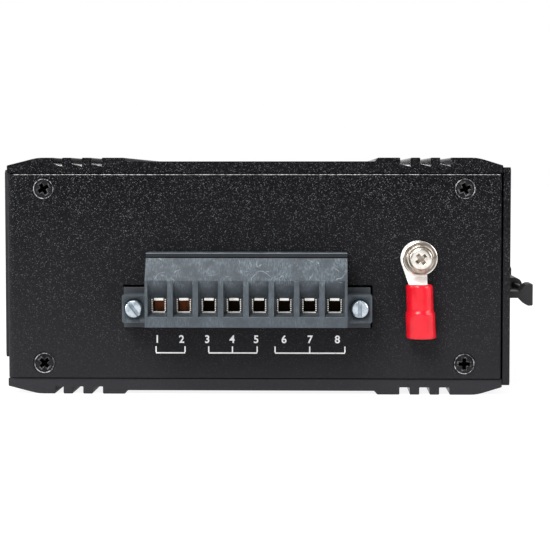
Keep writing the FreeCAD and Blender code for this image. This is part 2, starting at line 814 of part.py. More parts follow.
# ---------------------------------------------------------------- terminal block
def pole_places():
    first = terminal_x - (poles - 1) * pitch / 2
    return [first + index * pitch for index in range(poles)]


def flange_places():
    reach = (poles + 1) * pitch / 2
    return [terminal_x - reach, terminal_x + reach]


def terminal_header():
    """Socket on the board, open towards the plug, with a nut in each flange."""
    back = header_depth - header_proud
    middle = terminal_x + header_shift
    body = block(middle - header_half, middle + header_half, -header_proud, back, header_bottom, header_top)
    cavity = block(terminal_x - plug_half, terminal_x + plug_half, -header_proud - 1, back - 2 * header_wall,
                   header_bottom + header_wall, header_top - header_wall)
    body = body.cut(cavity)
    for x in flange_places():
        hole_start = V(x, -header_proud, flange_screw_z)
        body = body.cut(rod(flange_screw_radius + screw_gap, header_depth * 0.8, hole_start, AXIS_Y))
        body = body.cut(nut_body(x, nut_play))
    half = pin_side / 2
    for x in pole_places():
        body = body.cut(block(x - half, x + half, back - 3 * header_wall, back + 1,
                              flange_screw_z - half, flange_screw_z + half))
    return body


def nut_body(x, play):
    half = nut_side / 2
    return block(x - half - play, x + half + play, nut_start - play, nut_start + nut_thickness + play,
                 flange_screw_z - half - play, header_top + play)


def header_nuts():
    """Square nuts dropped into the header's flanges."""
    nuts = []
    for x in flange_places():
        hole = rod(flange_screw_radius + screw_gap, 3 * nut_thickness, V(x, nut_start - 1, flange_screw_z), AXIS_Y)
        half = nut_side / 2
        square = block(x - half, x + half, nut_start, nut_start + nut_thickness,
                       flange_screw_z - half, flange_screw_z + half)
        nuts.append(square.cut(hole))
    return group(nuts)


def header_pins():
    """Square pins, bent down through the board."""
    pins = []
    half = pin_side / 2
    drop = pin_drop()
    for x in pole_places():
        flat = block(x - half, x + half, pin_tip, drop, flange_screw_z - half, flange_screw_z + half)
        leg = block(x - half, x + half, drop - pin_side, drop, board_under - pin_tail, flange_screw_z + half)
        pins.append(flat.fuse(leg).removeSplitter())
    return group(pins)


def pin_drop():
    """Y of the outside of the pins' bend, behind the header."""
    return header_depth - header_proud + 1.5 * pin_side


def plug_housing():
    """Pluggable screw terminal: funnel entries in front, driver holes above, flanges beside."""
    left = terminal_x - plug_half
    seat = header_proud + nut_play
    brow = -plug_front + plug_slope_run
    side = [(-plug_front, plug_bottom), (-plug_front, plug_slope_foot), (brow, plug_slope_top),
            (brow + brow_groove_depth, plug_slope_top), (brow + brow_groove_depth, plug_slope_top + brow_groove),
            (brow, plug_slope_top + brow_groove), (brow, plug_top), (-seat, plug_top), (-seat, plug_bottom)]
    body = prism([V(left, y, z) for y, z in side], V(2 * plug_half, 0, 0))
    tongue = block(left + tongue_gap, left + 2 * plug_half - tongue_gap, -seat, plug_tongue,
                   header_bottom + header_wall + tongue_gap, header_top - header_wall - tongue_gap)
    middle = terminal_x
    flange = block(middle - header_half, middle + header_half, -flange_front, -seat, flange_bottom, flange_top)
    flange = round_edges(flange, flange_corner, AXIS_Y)
    body = fused([body, tongue, flange])
    for x in flange_places():
        hole_start = V(x, -flange_front - flange_corner, flange_screw_z)
        body = body.cut(rod(flange_screw_radius + tongue_gap, flange_front, hole_start, AXIS_Y))
    slit = pin_side / 2 + tongue_gap
    screw_y = -plug_front + driver_hole_front
    for x in pole_places():
        body = body.cut(entry_funnel_shape(x))
        body = body.cut(clamp_room(x))
        body = body.cut(rod(driver_hole_radius, plug_rise, V(x, screw_y, clamp_top()), AXIS_Z))
        body = body.cut(block(x - slit, x + slit, clamp_front() + clamp_length, plug_tongue + 1,
                              flange_screw_z - slit, flange_screw_z + slit))
    return body


def clamp_top():
    return cage_inner_top + clamp_wall


def clamp_front():
    return -plug_front + entry_funnel


def entry_funnel_shape(x):
    """A wire entry: flat below and slanted above, narrowing to the clamp."""
    half = (pitch - entry_wall) / 2
    before = -plug_front - entry_wall
    rise = (plug_slope_foot - cage_inner_top) / entry_funnel * entry_wall
    side = [(before, entry_bottom), (before, plug_slope_foot + rise), (clamp_front(), cage_inner_top),
            (clamp_front(), cage_inner_bottom), (-plug_front, entry_bottom)]
    return prism([V(x - half, y, z) for y, z in side], V(2 * half, 0, 0))


def clamp_room(x):
    """Room for the clamp cage behind the entry."""
    half = cage_inner_width / 2 + clamp_wall + clamp_play
    return block(x - half, x + half, clamp_front() - nut_play, clamp_front() + clamp_length + strip_room,
                 cage_inner_bottom - clamp_wall - clamp_play, clamp_top() + clamp_play)


def plug_clamps():
    """Rising clamp cages that grip the wires."""
    cages = []
    half = cage_inner_width / 2
    screw_y = -plug_front + driver_hole_front
    for x in pole_places():
        outer = block(x - half - clamp_wall, x + half + clamp_wall, clamp_front(), clamp_front() + clamp_length,
                      cage_inner_bottom - clamp_wall, clamp_top())
        inner = block(x - half, x + half, clamp_front() - 1, clamp_front() + clamp_length + 1,
                      cage_inner_bottom, cage_inner_top)
        hole = rod(clamp_tip_radius + screw_gap, 3 * clamp_wall, V(x, screw_y, cage_inner_top - clamp_wall), AXIS_Z)
        cages.append(outer.cut(inner).cut(hole))
    return group(cages)


def plug_contacts():
    """Contact strips behind the clamps, which slide over the header's pins."""
    strips = []
    start = clamp_front() + clamp_length + 2 * clamp_play
    half = cage_inner_width / 2
    for x in pole_places():
        strips.append(block(x - half, x + half, start, start + strip_thickness, cage_inner_bottom, cage_inner_top))
    return group(strips)


def clamp_screws():
    """Slotted screws above the clamps."""
    screws = []
    reach = 2 * clamp_head_radius
    slot = block(-reach, reach, -clamp_slot_half, clamp_slot_half, clamp_slot_floor, reach)
    body = revolve([(0, clamp_head_height), (clamp_head_radius, clamp_head_height), (clamp_head_radius, 0),
                    (clamp_tip_radius, 0), (clamp_tip_radius, -clamp_tip_length), (0, -clamp_tip_length)])
    screw = body.cut(slot)
    for x in pole_places():
        foot = V(x, -plug_front + driver_hole_front, clamp_top() + nut_play)
        screws.append(aimed(screw, foot, AXIS_Z, 20))
    return group(screws)


def flange_screws():
    """Captive slotted screws that hold the plug in the header."""
    reach = 2 * flange_screw_head
    slot = block(-reach, reach, -flange_slot_half, flange_slot_half, flange_slot_floor, reach)
    length = flange_front + flange_screw_reach
    chamfer = 0.15 * flange_screw_head
    body = revolve([(0, flange_head_height), (flange_screw_head - chamfer, flange_head_height),
                    (flange_screw_head, flange_head_height - chamfer), (flange_screw_head, 0),
                    (flange_screw_radius, 0), (flange_screw_radius, -length), (0, -length)])
    screw = body.cut(slot)
    screws = []
    for x, turn in zip(flange_places(), (-52.0, 90.0)):
        screws.append(aimed(screw, V(x, -flange_front, flange_screw_z), V(0, -1, 0), turn))
    return group(screws)


# ---------------------------------------------------------------- earth terminal
def tangent_point(x, z, middle_x, middle_z, radius):
    """Where a line from (x, z) touches the left side of a circle above it."""
    away = math.hypot(middle_x - x, middle_z - z)
    heading = math.atan2(middle_z - z, middle_x - x) + math.asin(radius / away)
    reach = math.sqrt(away * away - radius * radius)
    return x + reach * math.cos(heading), z + reach * math.sin(heading)


def ring_terminal():
    """Ring tongue under the screw, with a neck stepped out to the wire barrel."""
    ring_x = earth_x - tongue_shift
    thick = tongue_thickness
    ring = rod(tongue_radius, thick, V(ring_x, -thick, earth_z), AXIS_Y)
    neck_end = barrel_top - 2 * thick
    bend = earth_z - neck_bend
    side = [(0, earth_z), (-thick, earth_z), (-thick, bend), (-thick - neck_offset, sleeve_top),
            (-thick - neck_offset, neck_end), (-neck_offset, neck_end), (-neck_offset, sleeve_top), (0, bend)]
    strip = prism([V(ring_x - tongue_radius, y, z) for y, z in side], V(2 * tongue_radius, 0, 0))
    touch = tangent_point(earth_x - neck_left, sleeve_top, ring_x, earth_z, tongue_radius)
    outline = [touch, (earth_x - neck_left, sleeve_top), (sleeve_x - neck_inner_half, barrel_top),
               (sleeve_x - neck_inner_half, neck_end), (sleeve_x + neck_inner_half, neck_end),
               (sleeve_x + neck_inner_half, barrel_top), (earth_x + neck_right, sleeve_top),
               (earth_x + neck_right, earth_z)]
    neck = strip.common(prism([V(x, -tongue_radius, z) for x, z in outline], V(0, 2 * tongue_radius, 0)))
    barrel = rod(barrel_radius, barrel_length, V(sleeve_x, -sleeve_off_face, barrel_top), V(0, 0, -1))
    terminal = fused([ring, neck, barrel])
    bore_start = V(sleeve_x, -sleeve_off_face, barrel_top - barrel_floor)
    terminal = terminal.cut(rod(barrel_bore_radius, barrel_length, bore_start, V(0, 0, -1)))
    return terminal.cut(rod(tongue_hole_radius, 4 * thick, V(ring_x, -2 * thick, earth_z), AXIS_Y))


def ring_sleeve():
    """Soft insulating sleeve pushed over the barrel, with a flared open mouth."""
    rim = sleeve_round / 2
    profile = [(sleeve_radius - sleeve_round, 0), (sleeve_radius, -sleeve_round), (sleeve_radius, -sleeve_step),
               (sleeve_flare_radius, -sleeve_step - sleeve_round), (sleeve_flare_radius, -sleeve_length + rim),
               (sleeve_flare_radius - rim, -sleeve_length), (sleeve_bore_radius + rim, -sleeve_length),
               (sleeve_bore_radius, -sleeve_length + rim), (sleeve_bore_radius, 0)]
    sleeve = aimed(revolve(profile), V(sleeve_x, -sleeve_off_face, sleeve_top), AXIS_Z)
    return sleeve.cut(ring_terminal())


def earth_flat_washer():
    start = V(earth_x, -tongue_thickness - flat_washer_thickness, earth_z)
    return tube(flat_washer_radius, earth_screw_radius + 0.1, flat_washer_thickness, start, AXIS_Y)


def earth_lock_washer():
    """Split spring washer."""
    start = V(earth_x, -tongue_thickness - flat_washer_thickness - lock_washer_thickness, earth_z)
    ring = tube(lock_washer_radius, earth_screw_radius + 0.1, lock_washer_thickness, start, AXIS_Y)
    half = lock_washer_split / 2
    split = block(earth_x, earth_x + 2 * lock_washer_radius, 2 * start.y, 0, earth_z - half, earth_z + half)
    return ring.cut(split)


def earth_screw():
    seat = tongue_thickness + flat_washer_thickness + lock_washer_thickness
    screw = pan_screw(earth_screw_radius, earth_head_radius, earth_head_height, earth_screw_length)
    return aimed(screw, V(earth_x, -seat, earth_z), V(0, -1, 0), 38)


def earth_nut():
    """Clinch nut pressed into the back of the end panel."""
    start = V(earth_x, sheet, earth_z)
    return tube(earth_nut_radius, earth_screw_radius + screw_gap, earth_nut_height, start, AXIS_Y)


# ---------------------------------------------------------------- parts on the board
def on_board(x, y, size):
    """A block standing on the board, with its middle at x and y."""
    width, length, height = size
    return block(x - width / 2, x + width / 2, y - length / 2, y + length / 2, board_top, board_top + height)


def square_under_board(side, top, bottom):
    half = side / 2
    return block(chip_x - half, chip_x + half, port_block_middle - half, port_block_middle + half, bottom, top)


def switch_chip():
    return square_under_board(chip_side, board_under, board_under - chip_thickness)


def heat_pad():
    top = board_under - chip_thickness
    return square_under_board(chip_side, top, top - pad_thickness)


def heat_block():
    """Aluminium block that carries the chip's heat to the lower cover."""
    return square_under_board(heat_block_side, board_under - chip_thickness - pad_thickness, -cover_under)


def line_transformers():
    pieces = []
    for column in range(port_columns):
        y = port_block_start + port_side_wall + (column + 0.5) * port_pitch
        pieces.append(on_board(line_transformer_x, y, line_transformer_size))
    return group(pieces)


def isolating_transformer():
    y = transformer_share * case_height
    return fused([on_board(transformer_x, y, transformer_core), on_board(transformer_x, y, transformer_bobbin)])


def alarm_relay():
    return on_board(relay_x, relay_share * case_height, relay_size)


def power_inductor():
    coil = on_board(inductor_x, inductor_share * case_height, inductor_size)
    return round_edges(coil, inductor_corner, AXIS_Z)


def capacitors():
    cans = []
    for index in range(capacitor_count):
        y = capacitor_share * case_height + (index - (capacitor_count - 1) / 2) * capacitor_pitch
        cans.append(rod(capacitor_radius, capacitor_height, V(capacitor_x, y, board_top), AXIS_Z))
    return group(cans)


# ---------------------------------------------------------------- writing the parts
def parts():
    yield "side_cover_upper", upper_cover()
    yield "side_cover_lower", lower_cover()
    yield "front_shell", front_shell()
    yield "port_plate", port_plate()
    yield "rear_plate", rear_plate()
    yield "end_screws", end_screws()
    yield "rear_plate_screws", rear_screws()
    yield "rail_clip", rail_clip()
    yield "rail_latch", rail_latch()
    yield "latch_spring", latch_spring()
    yield "clip_screws", clip_screws()
    yield "circuit_board", circuit_board()
    yield "board_standoffs", board_standoffs()
    yield "board_screws", board_screws()
    yield "port_shield", port_shield()
    for column in range(port_columns):
        yield "port_module_%d" % (column + 1), port_module(column)
    for index in range(cage_count):
        yield "module_cage_%d" % (index + 1), module_cage(index)
    yield "light_guides", light_guides()
    yield "lamp_holder", lamp_holder()
    yield "terminal_header", terminal_header()
    yield "header_nuts", header_nuts()
    yield "header_pins", header_pins()
    yield "plug_housing", plug_housing()
    yield "plug_clamps", plug_clamps()
    yield "plug_contacts", plug_contacts()
    yield "plug_clamp_screws", clamp_screws()
    yield "plug_flange_screws", flange_screws()
    yield "earth_screw", earth_screw()
    yield "earth_lock_washer", earth_lock_washer()
    yield "earth_flat_washer", earth_flat_washer()
    yield "ring_terminal", ring_terminal()
    yield "ring_sleeve", ring_sleeve()
    yield "earth_nut", earth_nut()
    yield "switch_chip", switch_chip()
    yield "heat_pad", heat_pad()
    yield "heat_block", heat_block()
    yield "line_transformers", line_transformers()
    yield "isolating_transformer", isolating_transformer()
    yield "alarm_relay", alarm_relay()
    yield "power_inductor", power_inductor()
    yield "capacitors", capacitors()


os.makedirs("parts", exist_ok=True)
for name, shape in parts():
    placed = shape.copy()
    placed.translate(part_shift)
    placed.exportStep("parts/%s.step" % name)
    print(name, "solids", len(placed.Solids), "valid", placed.isValid(), "volume %.1f" % placed.Volume)
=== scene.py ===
"""Finishes, fine pieces, light and camera for an industrial Ethernet switch that lies on one finned side.

Metres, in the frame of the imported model: the terminal end faces -Y, the port front -X and the rail side +X.
"""

import json
import math

import bmesh
import bpy
from mathutils import Matrix, Vector


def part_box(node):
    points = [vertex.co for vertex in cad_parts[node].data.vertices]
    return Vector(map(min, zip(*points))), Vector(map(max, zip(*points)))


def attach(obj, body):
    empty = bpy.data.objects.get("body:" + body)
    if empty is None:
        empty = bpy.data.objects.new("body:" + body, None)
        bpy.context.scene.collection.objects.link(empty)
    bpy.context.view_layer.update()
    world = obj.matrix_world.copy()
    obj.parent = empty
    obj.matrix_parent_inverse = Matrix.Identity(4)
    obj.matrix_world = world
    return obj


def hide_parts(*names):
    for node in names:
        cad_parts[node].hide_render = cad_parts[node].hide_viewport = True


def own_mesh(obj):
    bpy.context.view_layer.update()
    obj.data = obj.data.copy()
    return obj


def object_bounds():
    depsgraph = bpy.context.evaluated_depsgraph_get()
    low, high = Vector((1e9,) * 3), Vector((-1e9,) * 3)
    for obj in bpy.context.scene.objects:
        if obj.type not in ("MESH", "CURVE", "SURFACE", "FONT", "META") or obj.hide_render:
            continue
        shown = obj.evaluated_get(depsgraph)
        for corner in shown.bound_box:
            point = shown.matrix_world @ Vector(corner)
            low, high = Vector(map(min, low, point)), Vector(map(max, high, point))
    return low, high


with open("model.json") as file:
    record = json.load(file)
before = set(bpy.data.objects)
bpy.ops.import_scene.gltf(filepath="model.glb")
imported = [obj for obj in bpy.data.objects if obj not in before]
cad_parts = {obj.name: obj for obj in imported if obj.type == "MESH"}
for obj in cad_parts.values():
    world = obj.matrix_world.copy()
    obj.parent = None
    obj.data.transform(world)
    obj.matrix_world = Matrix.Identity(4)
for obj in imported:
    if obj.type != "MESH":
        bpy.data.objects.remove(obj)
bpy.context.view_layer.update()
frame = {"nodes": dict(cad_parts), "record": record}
nodes = frame["nodes"]

MM = 0.001
GROOVE_DEPTH = 0.0015
WELD = 0.002 * MM           # corners of a solid's mesh that lie nearer than this are one corner
CREASE = 35.0               # degrees between faces above which an edge is shaded sharp
MACHINED_CREASE = 40.0      # the same for fasteners
LEAN = 2.4                  # degrees by which the crimped end leans to the rail side
AXIS_X = Vector((1, 0, 0))
AXIS_Y = Vector((0, 1, 0))
AXIS_Z = Vector((0, 0, 1))


# ------------------------------------------------------------------ colours and shader nodes
def linear(hex_colour):
    """An sRGB hex colour as linear red, green, blue and alpha."""
    channels = []
    for start in (1, 3, 5):
        value = int(hex_colour[start:start + 2], 16) / 255
        channels.append(value / 12.92 if value <= 0.04045 else ((value + 0.055) / 1.055) ** 2.4)
    return (*channels, 1.0)


def add(tree, kind, values=None, **settings):
    """Adds a node. Values fill its sockets by name or number: a socket is linked, anything else is set."""
    node = tree.nodes.new(kind)
    for key, setting in settings.items():
        setattr(node, key, setting)
    for key, value in (values or {}).items():
        if isinstance(value, bpy.types.NodeSocket):
            tree.links.new(value, node.inputs[key])
        else:
            node.inputs[key].default_value = value
    return node


def emptied_tree(owner):
    """The node tree of a material or world, without its usual nodes."""
    owner.use_nodes = True
    owner.node_tree.nodes.clear()
    return owner.node_tree


def material(name, base, roughness, metallic=0.0, **sockets):
    """A material with one Principled shader, returned with its tree, shader and object coordinates."""
    made = bpy.data.materials.new(name)
    tree = emptied_tree(made)
    shader = add(tree, "ShaderNodeBsdfPrincipled",
                 {"Base Color": linear(base), "Roughness": roughness, "Metallic": metallic})
    for key, value in sockets.items():
        shader.inputs[key.replace("_", " ")].default_value = value
    add(tree, "ShaderNodeOutputMaterial", {"Surface": shader.outputs[0]})
    place = add(tree, "ShaderNodeTexCoord").outputs["Object"]
    return made, tree, shader, place


def per_metre(size_mm):
    """Scale of a noise whose grains are about this size."""
    return 1.0 / (size_mm * MM)


def noise(tree, place, size_mm, detail=2.0, roughness=0.5):
    return add(tree, "ShaderNodeTexNoise", {"Vector": place, "Scale": per_metre(size_mm), "Detail": detail,
                                            "Roughness": roughness}).outputs["Fac"]


def stretched(tree, place, scale):
    """Coordinates that run faster along some axes, so that a pattern lies in lines."""
    return add(tree, "ShaderNodeMapping", {"Vector": place, "Scale": scale}).outputs[0]


def calculate(tree, operation, first, second=None):
    """One step of arithmetic on sockets or plain numbers."""
    values = {0: first} if second is None else {0: first, 1: second}
    return add(tree, "ShaderNodeMath", values, operation=operation).outputs[0]


def along_axis(tree, place, axis):
    return add(tree, "ShaderNodeSeparateXYZ", {0: place}).outputs[axis]


def remap(tree, value, low, high, to_low=0.0, to_high=1.0):
    return add(tree, "ShaderNodeMapRange", {"Value": value, "From Min": low, "From Max": high,
                                            "To Min": to_low, "To Max": to_high}).outputs[0]


def blend_colours(tree, factor, first, second):
    mix = add(tree, "ShaderNodeMix", {0: factor}, data_type="RGBA")
    for socket, colour in ((mix.inputs[6], first), (mix.inputs[7], second)):
        if isinstance(colour, bpy.types.NodeSocket):
            tree.links.new(colour, socket)
        else:
            socket.default_value = linear(colour)
    return mix.outputs[2]


def relief(tree, shader, height, depth_mm):
    bump = add(tree, "ShaderNodeBump", {"Height": height, "Distance": depth_mm * MM, "Strength": 1.0})
    tree.links.new(bump.outputs[0], shader.inputs["Normal"])


# ------------------------------------------------------------------ materials
def powder_coat(name, base, swell_colour, glint, strength, heights):
    """Black polyester powder coat with a fine texture: matt, with pale grains where the relief catches light.

    The real grain is about 0.1 mm, which is too fine to show, so it is drawn at 0.17 to 0.32 mm. The pale
    grains are painted glints, drawn into the base colour. Light is also painted by height between the two
    heights (metres): the grain and the glints stand out most near the upper height, as painted light from
    above, and near the lower height the ground is a little paler, as painted light from the floor. The base
    is a pair of colours, for the upper and the lower height.
    """
    grain_mm, glint_mm, cloud_mm = 0.32, 0.17, 9.0
    rarity = 7.0
    made, tree, shader, place = material(name, base[0], 0.56, Specular_IOR_Level=0.04)
    grain = noise(tree, place, grain_mm, detail=4.0, roughness=0.7)
    cells = add(tree, "ShaderNodeTexVoronoi", {"Vector": place, "Scale": per_metre(glint_mm)})
    chance = add(tree, "ShaderNodeSeparateColor", {0: cells.outputs["Color"]}).outputs[0]
    chance = calculate(tree, "POWER", chance, rarity)
    cloud = remap(tree, noise(tree, place, cloud_mm), 0.35, 0.65, 0.75, 1.0)
    height = along_axis(tree, place, "Z")
    # Painted light: grain and glints are strongest near the upper height and fade towards the lower one.
    lift = remap(tree, height, heights[0], heights[1], 0.12, 1.0)
    # Painted glints: rare pale cells mixed into the base colour.
    spark = remap(tree, cells.outputs["Distance"], 0.55, 0.2)
    for share in (chance, cloud, lift, strength):
        spark = calculate(tree, "MULTIPLY", spark, share)
    # Painted light: the ground is paler towards the lower height, as light from the floor.
    ground = blend_colours(tree, remap(tree, height, heights[0], heights[1]), base[1], base[0])
    uneven = calculate(tree, "MULTIPLY", remap(tree, grain, 0.42, 0.68), lift)
    mottled = blend_colours(tree, uneven, ground, swell_colour)
    tree.links.new(blend_colours(tree, spark, mottled, glint), shader.inputs["Base Color"])
    glancing = add(tree, "ShaderNodeLayerWeight", {"Blend": 0.5}).outputs["Facing"]
    smooth = remap(tree, glancing, 0.84, 0.95, 0.0, 0.38)
    rough = remap(tree, grain, 0.3, 0.7, 0.5, 0.62)
    tree.links.new(calculate(tree, "SUBTRACT", rough, smooth), shader.inputs["Roughness"])
    relief(tree, shader, grain, 0.03)
    return made


def moulded(name, base, roughness, **sockets):
    """Injection moulded plastic: fine spark-eroded skin with a slow change of shade."""
    made, tree, shader, place = material(name, base, roughness, **sockets)
    change = remap(tree, noise(tree, place, 6.0), 0.3, 0.7, 0.88, 1.12)
    shade = add(tree, "ShaderNodeHueSaturation", {"Value": change, "Color": linear(base)}).outputs[0]
    tree.links.new(shade, shader.inputs["Base Color"])
    grain = noise(tree, place, 0.35, detail=3.0)
    rough = remap(tree, grain, 0.3, 0.7, roughness - 0.06, roughness + 0.06)
    tree.links.new(rough, shader.inputs["Roughness"])
    relief(tree, shader, grain, 0.006)
    return made


def contact_metal(name, new, aged, boundary):
    """Copper alloy behind the clamps: bright brown up to a distance along X (metres), then nearly black."""
    made, tree, shader, place = material(name, new, 0.45, 1.0)
    soft = 0.0002
    share = remap(tree, along_axis(tree, place, "X"), boundary - soft, boundary + soft)
    stain = noise(tree, place, 0.6, detail=3.0)
    tone = blend_colours(tree, share, new, aged)
    stained = remap(tree, stain, 0.5, 0.75, 0.0, 0.6)
    tree.links.new(blend_colours(tree, stained, tone, aged), shader.inputs["Base Color"])
    relief(tree, shader, stain, 0.01)
    return made


def painted_edge_highlight(name, base, bright, metallic):
    """Painted highlight on the edge of a coated or oxidised piece: broken pale metal, drawn like a
    rubbed-through edge.
    """
    made, tree, shader, place = material(name, base, 0.4, metallic)
    flecks = remap(tree, noise(tree, place, 0.7, detail=4.0, roughness=0.75), 0.44, 0.6)
    tree.links.new(blend_colours(tree, flecks, base, bright), shader.inputs["Base Color"])
    relief(tree, shader, flecks, 0.01)
    return made


def scuffed_plastic(name, base, pale, scratch, heights):
    """Polyamide of the plug: slate grey and cloudy from handling.

    Fine curved scratches lie on the slope, which begins between the two heights (metres). The cloud is paler
    from there up: handling wear, and painted light on the upward slope.
    """
    made, tree, shader, place = material(name, base, 0.5, Specular_IOR_Level=0.35)
    strokes = ((7.5, (0.013, 0.0, 0.02), 0.004), (5.2, (0.0, 0.031, 0.0), 0.004),
               (10.0, (0.05, 0.02, 0.0), 0.0025))
    scratches = 0.0
    for size, seed, thin in strokes:
        moved = add(tree, "ShaderNodeVectorMath", {0: place, 1: seed}, operation="ADD").outputs[0]
        field = noise(tree, moved, size, detail=1.0)
        ridge = calculate(tree, "ABSOLUTE", calculate(tree, "SUBTRACT", field, 0.5))
        line = remap(tree, ridge, thin * 1.6, thin * 0.4)
        broken = remap(tree, noise(tree, moved, 1.9), 0.53, 0.64)
        scratches = calculate(tree, "MAXIMUM", scratches, calculate(tree, "MULTIPLY", line, broken))
    drawn_out = stretched(tree, place, (4.0, 1.0, 1.0))
    fine = remap(tree, noise(tree, drawn_out, 0.9, detail=5.0, roughness=0.7), 0.4, 0.68)
    cloud = remap(tree, noise(tree, place, 3.0, detail=4.0, roughness=0.65), 0.38, 0.62)
    height = along_axis(tree, place, "Z")
    cloudy = calculate(tree, "MULTIPLY", fine, cloud)
    # Handling wear and painted light: the cloud is paler on the slope and above it, where it faces up.
    cloudy = calculate(tree, "MULTIPLY", cloudy, remap(tree, height, heights[0], heights[1], 0.45, 1.0))
    ground = blend_colours(tree, cloudy, base, pale)
    faint = calculate(tree, "MULTIPLY", scratches, remap(tree, height, heights[0], heights[1], 0.03, 0.42))
    tree.links.new(blend_colours(tree, faint, ground, scratch), shader.inputs["Base Color"])
    tree.links.new(remap(tree, cloudy, 0.0, 1.0, 0.44, 0.6), shader.inputs["Roughness"])
    relief(tree, shader, noise(tree, place, 0.35, detail=3.0), 0.008)
    return made


def plated(name, base, roughness, tarnish, metallic=1.0):
    """Bright plated metal: fine die lines, with a soft cloud of dulling."""
    made, tree, shader, place = material(name, base, roughness, metallic)
    cloud = noise(tree, place, 1.4, detail=4.0, roughness=0.6)
    lines = noise(tree, stretched(tree, place, (1.0, 4.0, 1.0)), 0.25, detail=3.0)
    tree.links.new(blend_colours(tree, remap(tree, cloud, 0.42, 0.72), base, tarnish),
                   shader.inputs["Base Color"])
    rough = remap(tree, cloud, 0.3, 0.7, roughness * 0.8, roughness * 1.35)
    tree.links.new(rough, shader.inputs["Roughness"])
    relief(tree, shader, lines, 0.0012)
    return made


def vinyl(name, base, deep):
    """Soft glossy vinyl of the sleeve: saturated red, with a faint waviness from dip moulding."""
    made, tree, shader, place = material(name, base, 0.28, Specular_IOR_Level=0.3, Coat_Weight=0.3,
                                         Coat_Roughness=0.08, Subsurface_Weight=0.08,
                                         Subsurface_Scale=0.0006)
    shade = remap(tree, noise(tree, place, 2.4), 0.3, 0.7)
    tree.links.new(blend_colours(tree, shade, base, deep), shader.inputs["Base Color"])
    relief(tree, shader, noise(tree, place, 1.3, detail=1.0), 0.03)
    return made


def laminate(name):
    """Glass-fibre board with green solder mask and a faint weave."""
    made, tree, shader, place = material(name, "#0f5a33", 0.3)
    weave = add(tree, "ShaderNodeTexWave", {"Vector": place, "Scale": per_metre(6.28),
                                            "Distortion": 1.0}).outputs["Fac"]
    tree.links.new(blend_colours(tree, weave, "#0c4a2a", "#126b3d"), shader.inputs["Base Color"])
    relief(tree, shader, weave, 0.01)
    return made


def print_ink(name):
    """White silk-screen ink, slightly broken by the texture under it."""
    made, tree, shader, place = material(name, "#f2f2f2", 0.6)
    worn = remap(tree, noise(tree, place, 0.3), 0.62, 0.8)
    tree.links.new(blend_colours(tree, worn, "#f4f4f4", "#9a9a9a"), shader.inputs["Base Color"])
    return made


HEIGHTS = (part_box("front_shell")[0].z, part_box("front_shell")[1].z)
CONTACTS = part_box("plug_contacts")
POLE_PITCH = (CONTACTS[1].x - CONTACTS[0].x) / 7.5
PLUG_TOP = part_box("plug_housing")[1].z

# These coats paint glints and grain contrast near the top of the shell and a paler ground near its foot, as
# painted light.
COAT_SHELL = powder_coat("powder_coated_steel", ("#050506", "#272729"), "#19191c", "#ececf2", 0.35, HEIGHTS)
COAT_COVER = powder_coat("powder_coated_aluminium", ("#060607", "#313134"), "#1a1a1d", "#ececf2", 0.28,
                         HEIGHTS)
COAT_PLATE = powder_coat("grey_coated_plate", ("#2e2e31", "#323235"), "#3b3b3e", "#c8c8cc", 0.15, HEIGHTS)
# Painted highlight on the shell's upper end edges: pale flecks on a dark ground.
PAINTED_HIGHLIGHT_COAT = painted_edge_highlight("coat_edge_painted_highlight", "#2c2c2e", "#b4b4b6", 0.1)
# Painted highlight on the front edges of the upper cover's groove feet.
PAINTED_HIGHLIGHT_FOOT = painted_edge_highlight("groove_foot_painted_highlight", "#8c8c8e", "#f4f4f6", 0.1)
BLACK_OXIDE = plated("black_oxide_steel", "#2e2e30", 0.25, "#1a1a1c")
# Bright rim ring of the end screws: metal rubbed bright, and a painted highlight of the rim's edge.
RUBBED_OXIDE_PAINTED_HIGHLIGHT = painted_edge_highlight("rubbed_oxide_rim_painted_highlight", "#3d3d3f", "#c8c8ca", 0.65)
# Painted highlight on the ledge round the cross recess of black screws.
PAINTED_HIGHLIGHT_LEDGE = painted_edge_highlight("oxide_ledge_painted_highlight", "#121213", "#68686a", 0.6)
# Painted shade: a near-black finish in the driver recesses.
PAINTED_SHADE_RECESS = moulded("recess_painted_shade", "#030304", 0.8, Specular_IOR_Level=0.02)
ZINC = plated("zinc_plated_steel", "#efebe4", 0.2, "#cfc6ba")
# Darker zinc: a painted dark reflection on the earth flat washer's face, and painted shade on the clip
# screws' ledges.
PAINTED_DARK_ZINC = plated("zinc_painted_dark_reflection_and_shade", "#958a80", 0.3, "#6b6056")
# Painted shade: darker, mottled zinc in recesses and on standing flanks.
PAINTED_SHADE_ZINC = plated("zinc_recess_painted_shade", "#d6ccc0", 0.35, "#5e5348")
BLUE_ZINC = plated("blue_passivated_zinc", "#c3cdd6", 0.26, "#7f8d97")
# Painted shade in the slots of the flange screws.
PAINTED_SHADE_BLUE_ZINC = plated("blue_zinc_slot_painted_shade", "#a9b5be", 0.4, "#6d7982")
MATT_TIN = plated("matt_tin_plating", "#fbfaf6", 0.5, "#e6e2da", 0.55)
WIRE_STEEL = plated("drawn_spring_wire", "#b6b8ba", 0.3, "#8a8c8e")
TINNED = plated("tinned_copper", "#fbfaf8", 0.42, "#eeebe5", 0.7)
TIN_SHEET = plated("tin_plated_sheet", "#cfd1d2", 0.3, "#a8aaab")
CLAMP_METAL = plated("nickel_plated_brass", "#e2dccb", 0.24, "#b5a685")
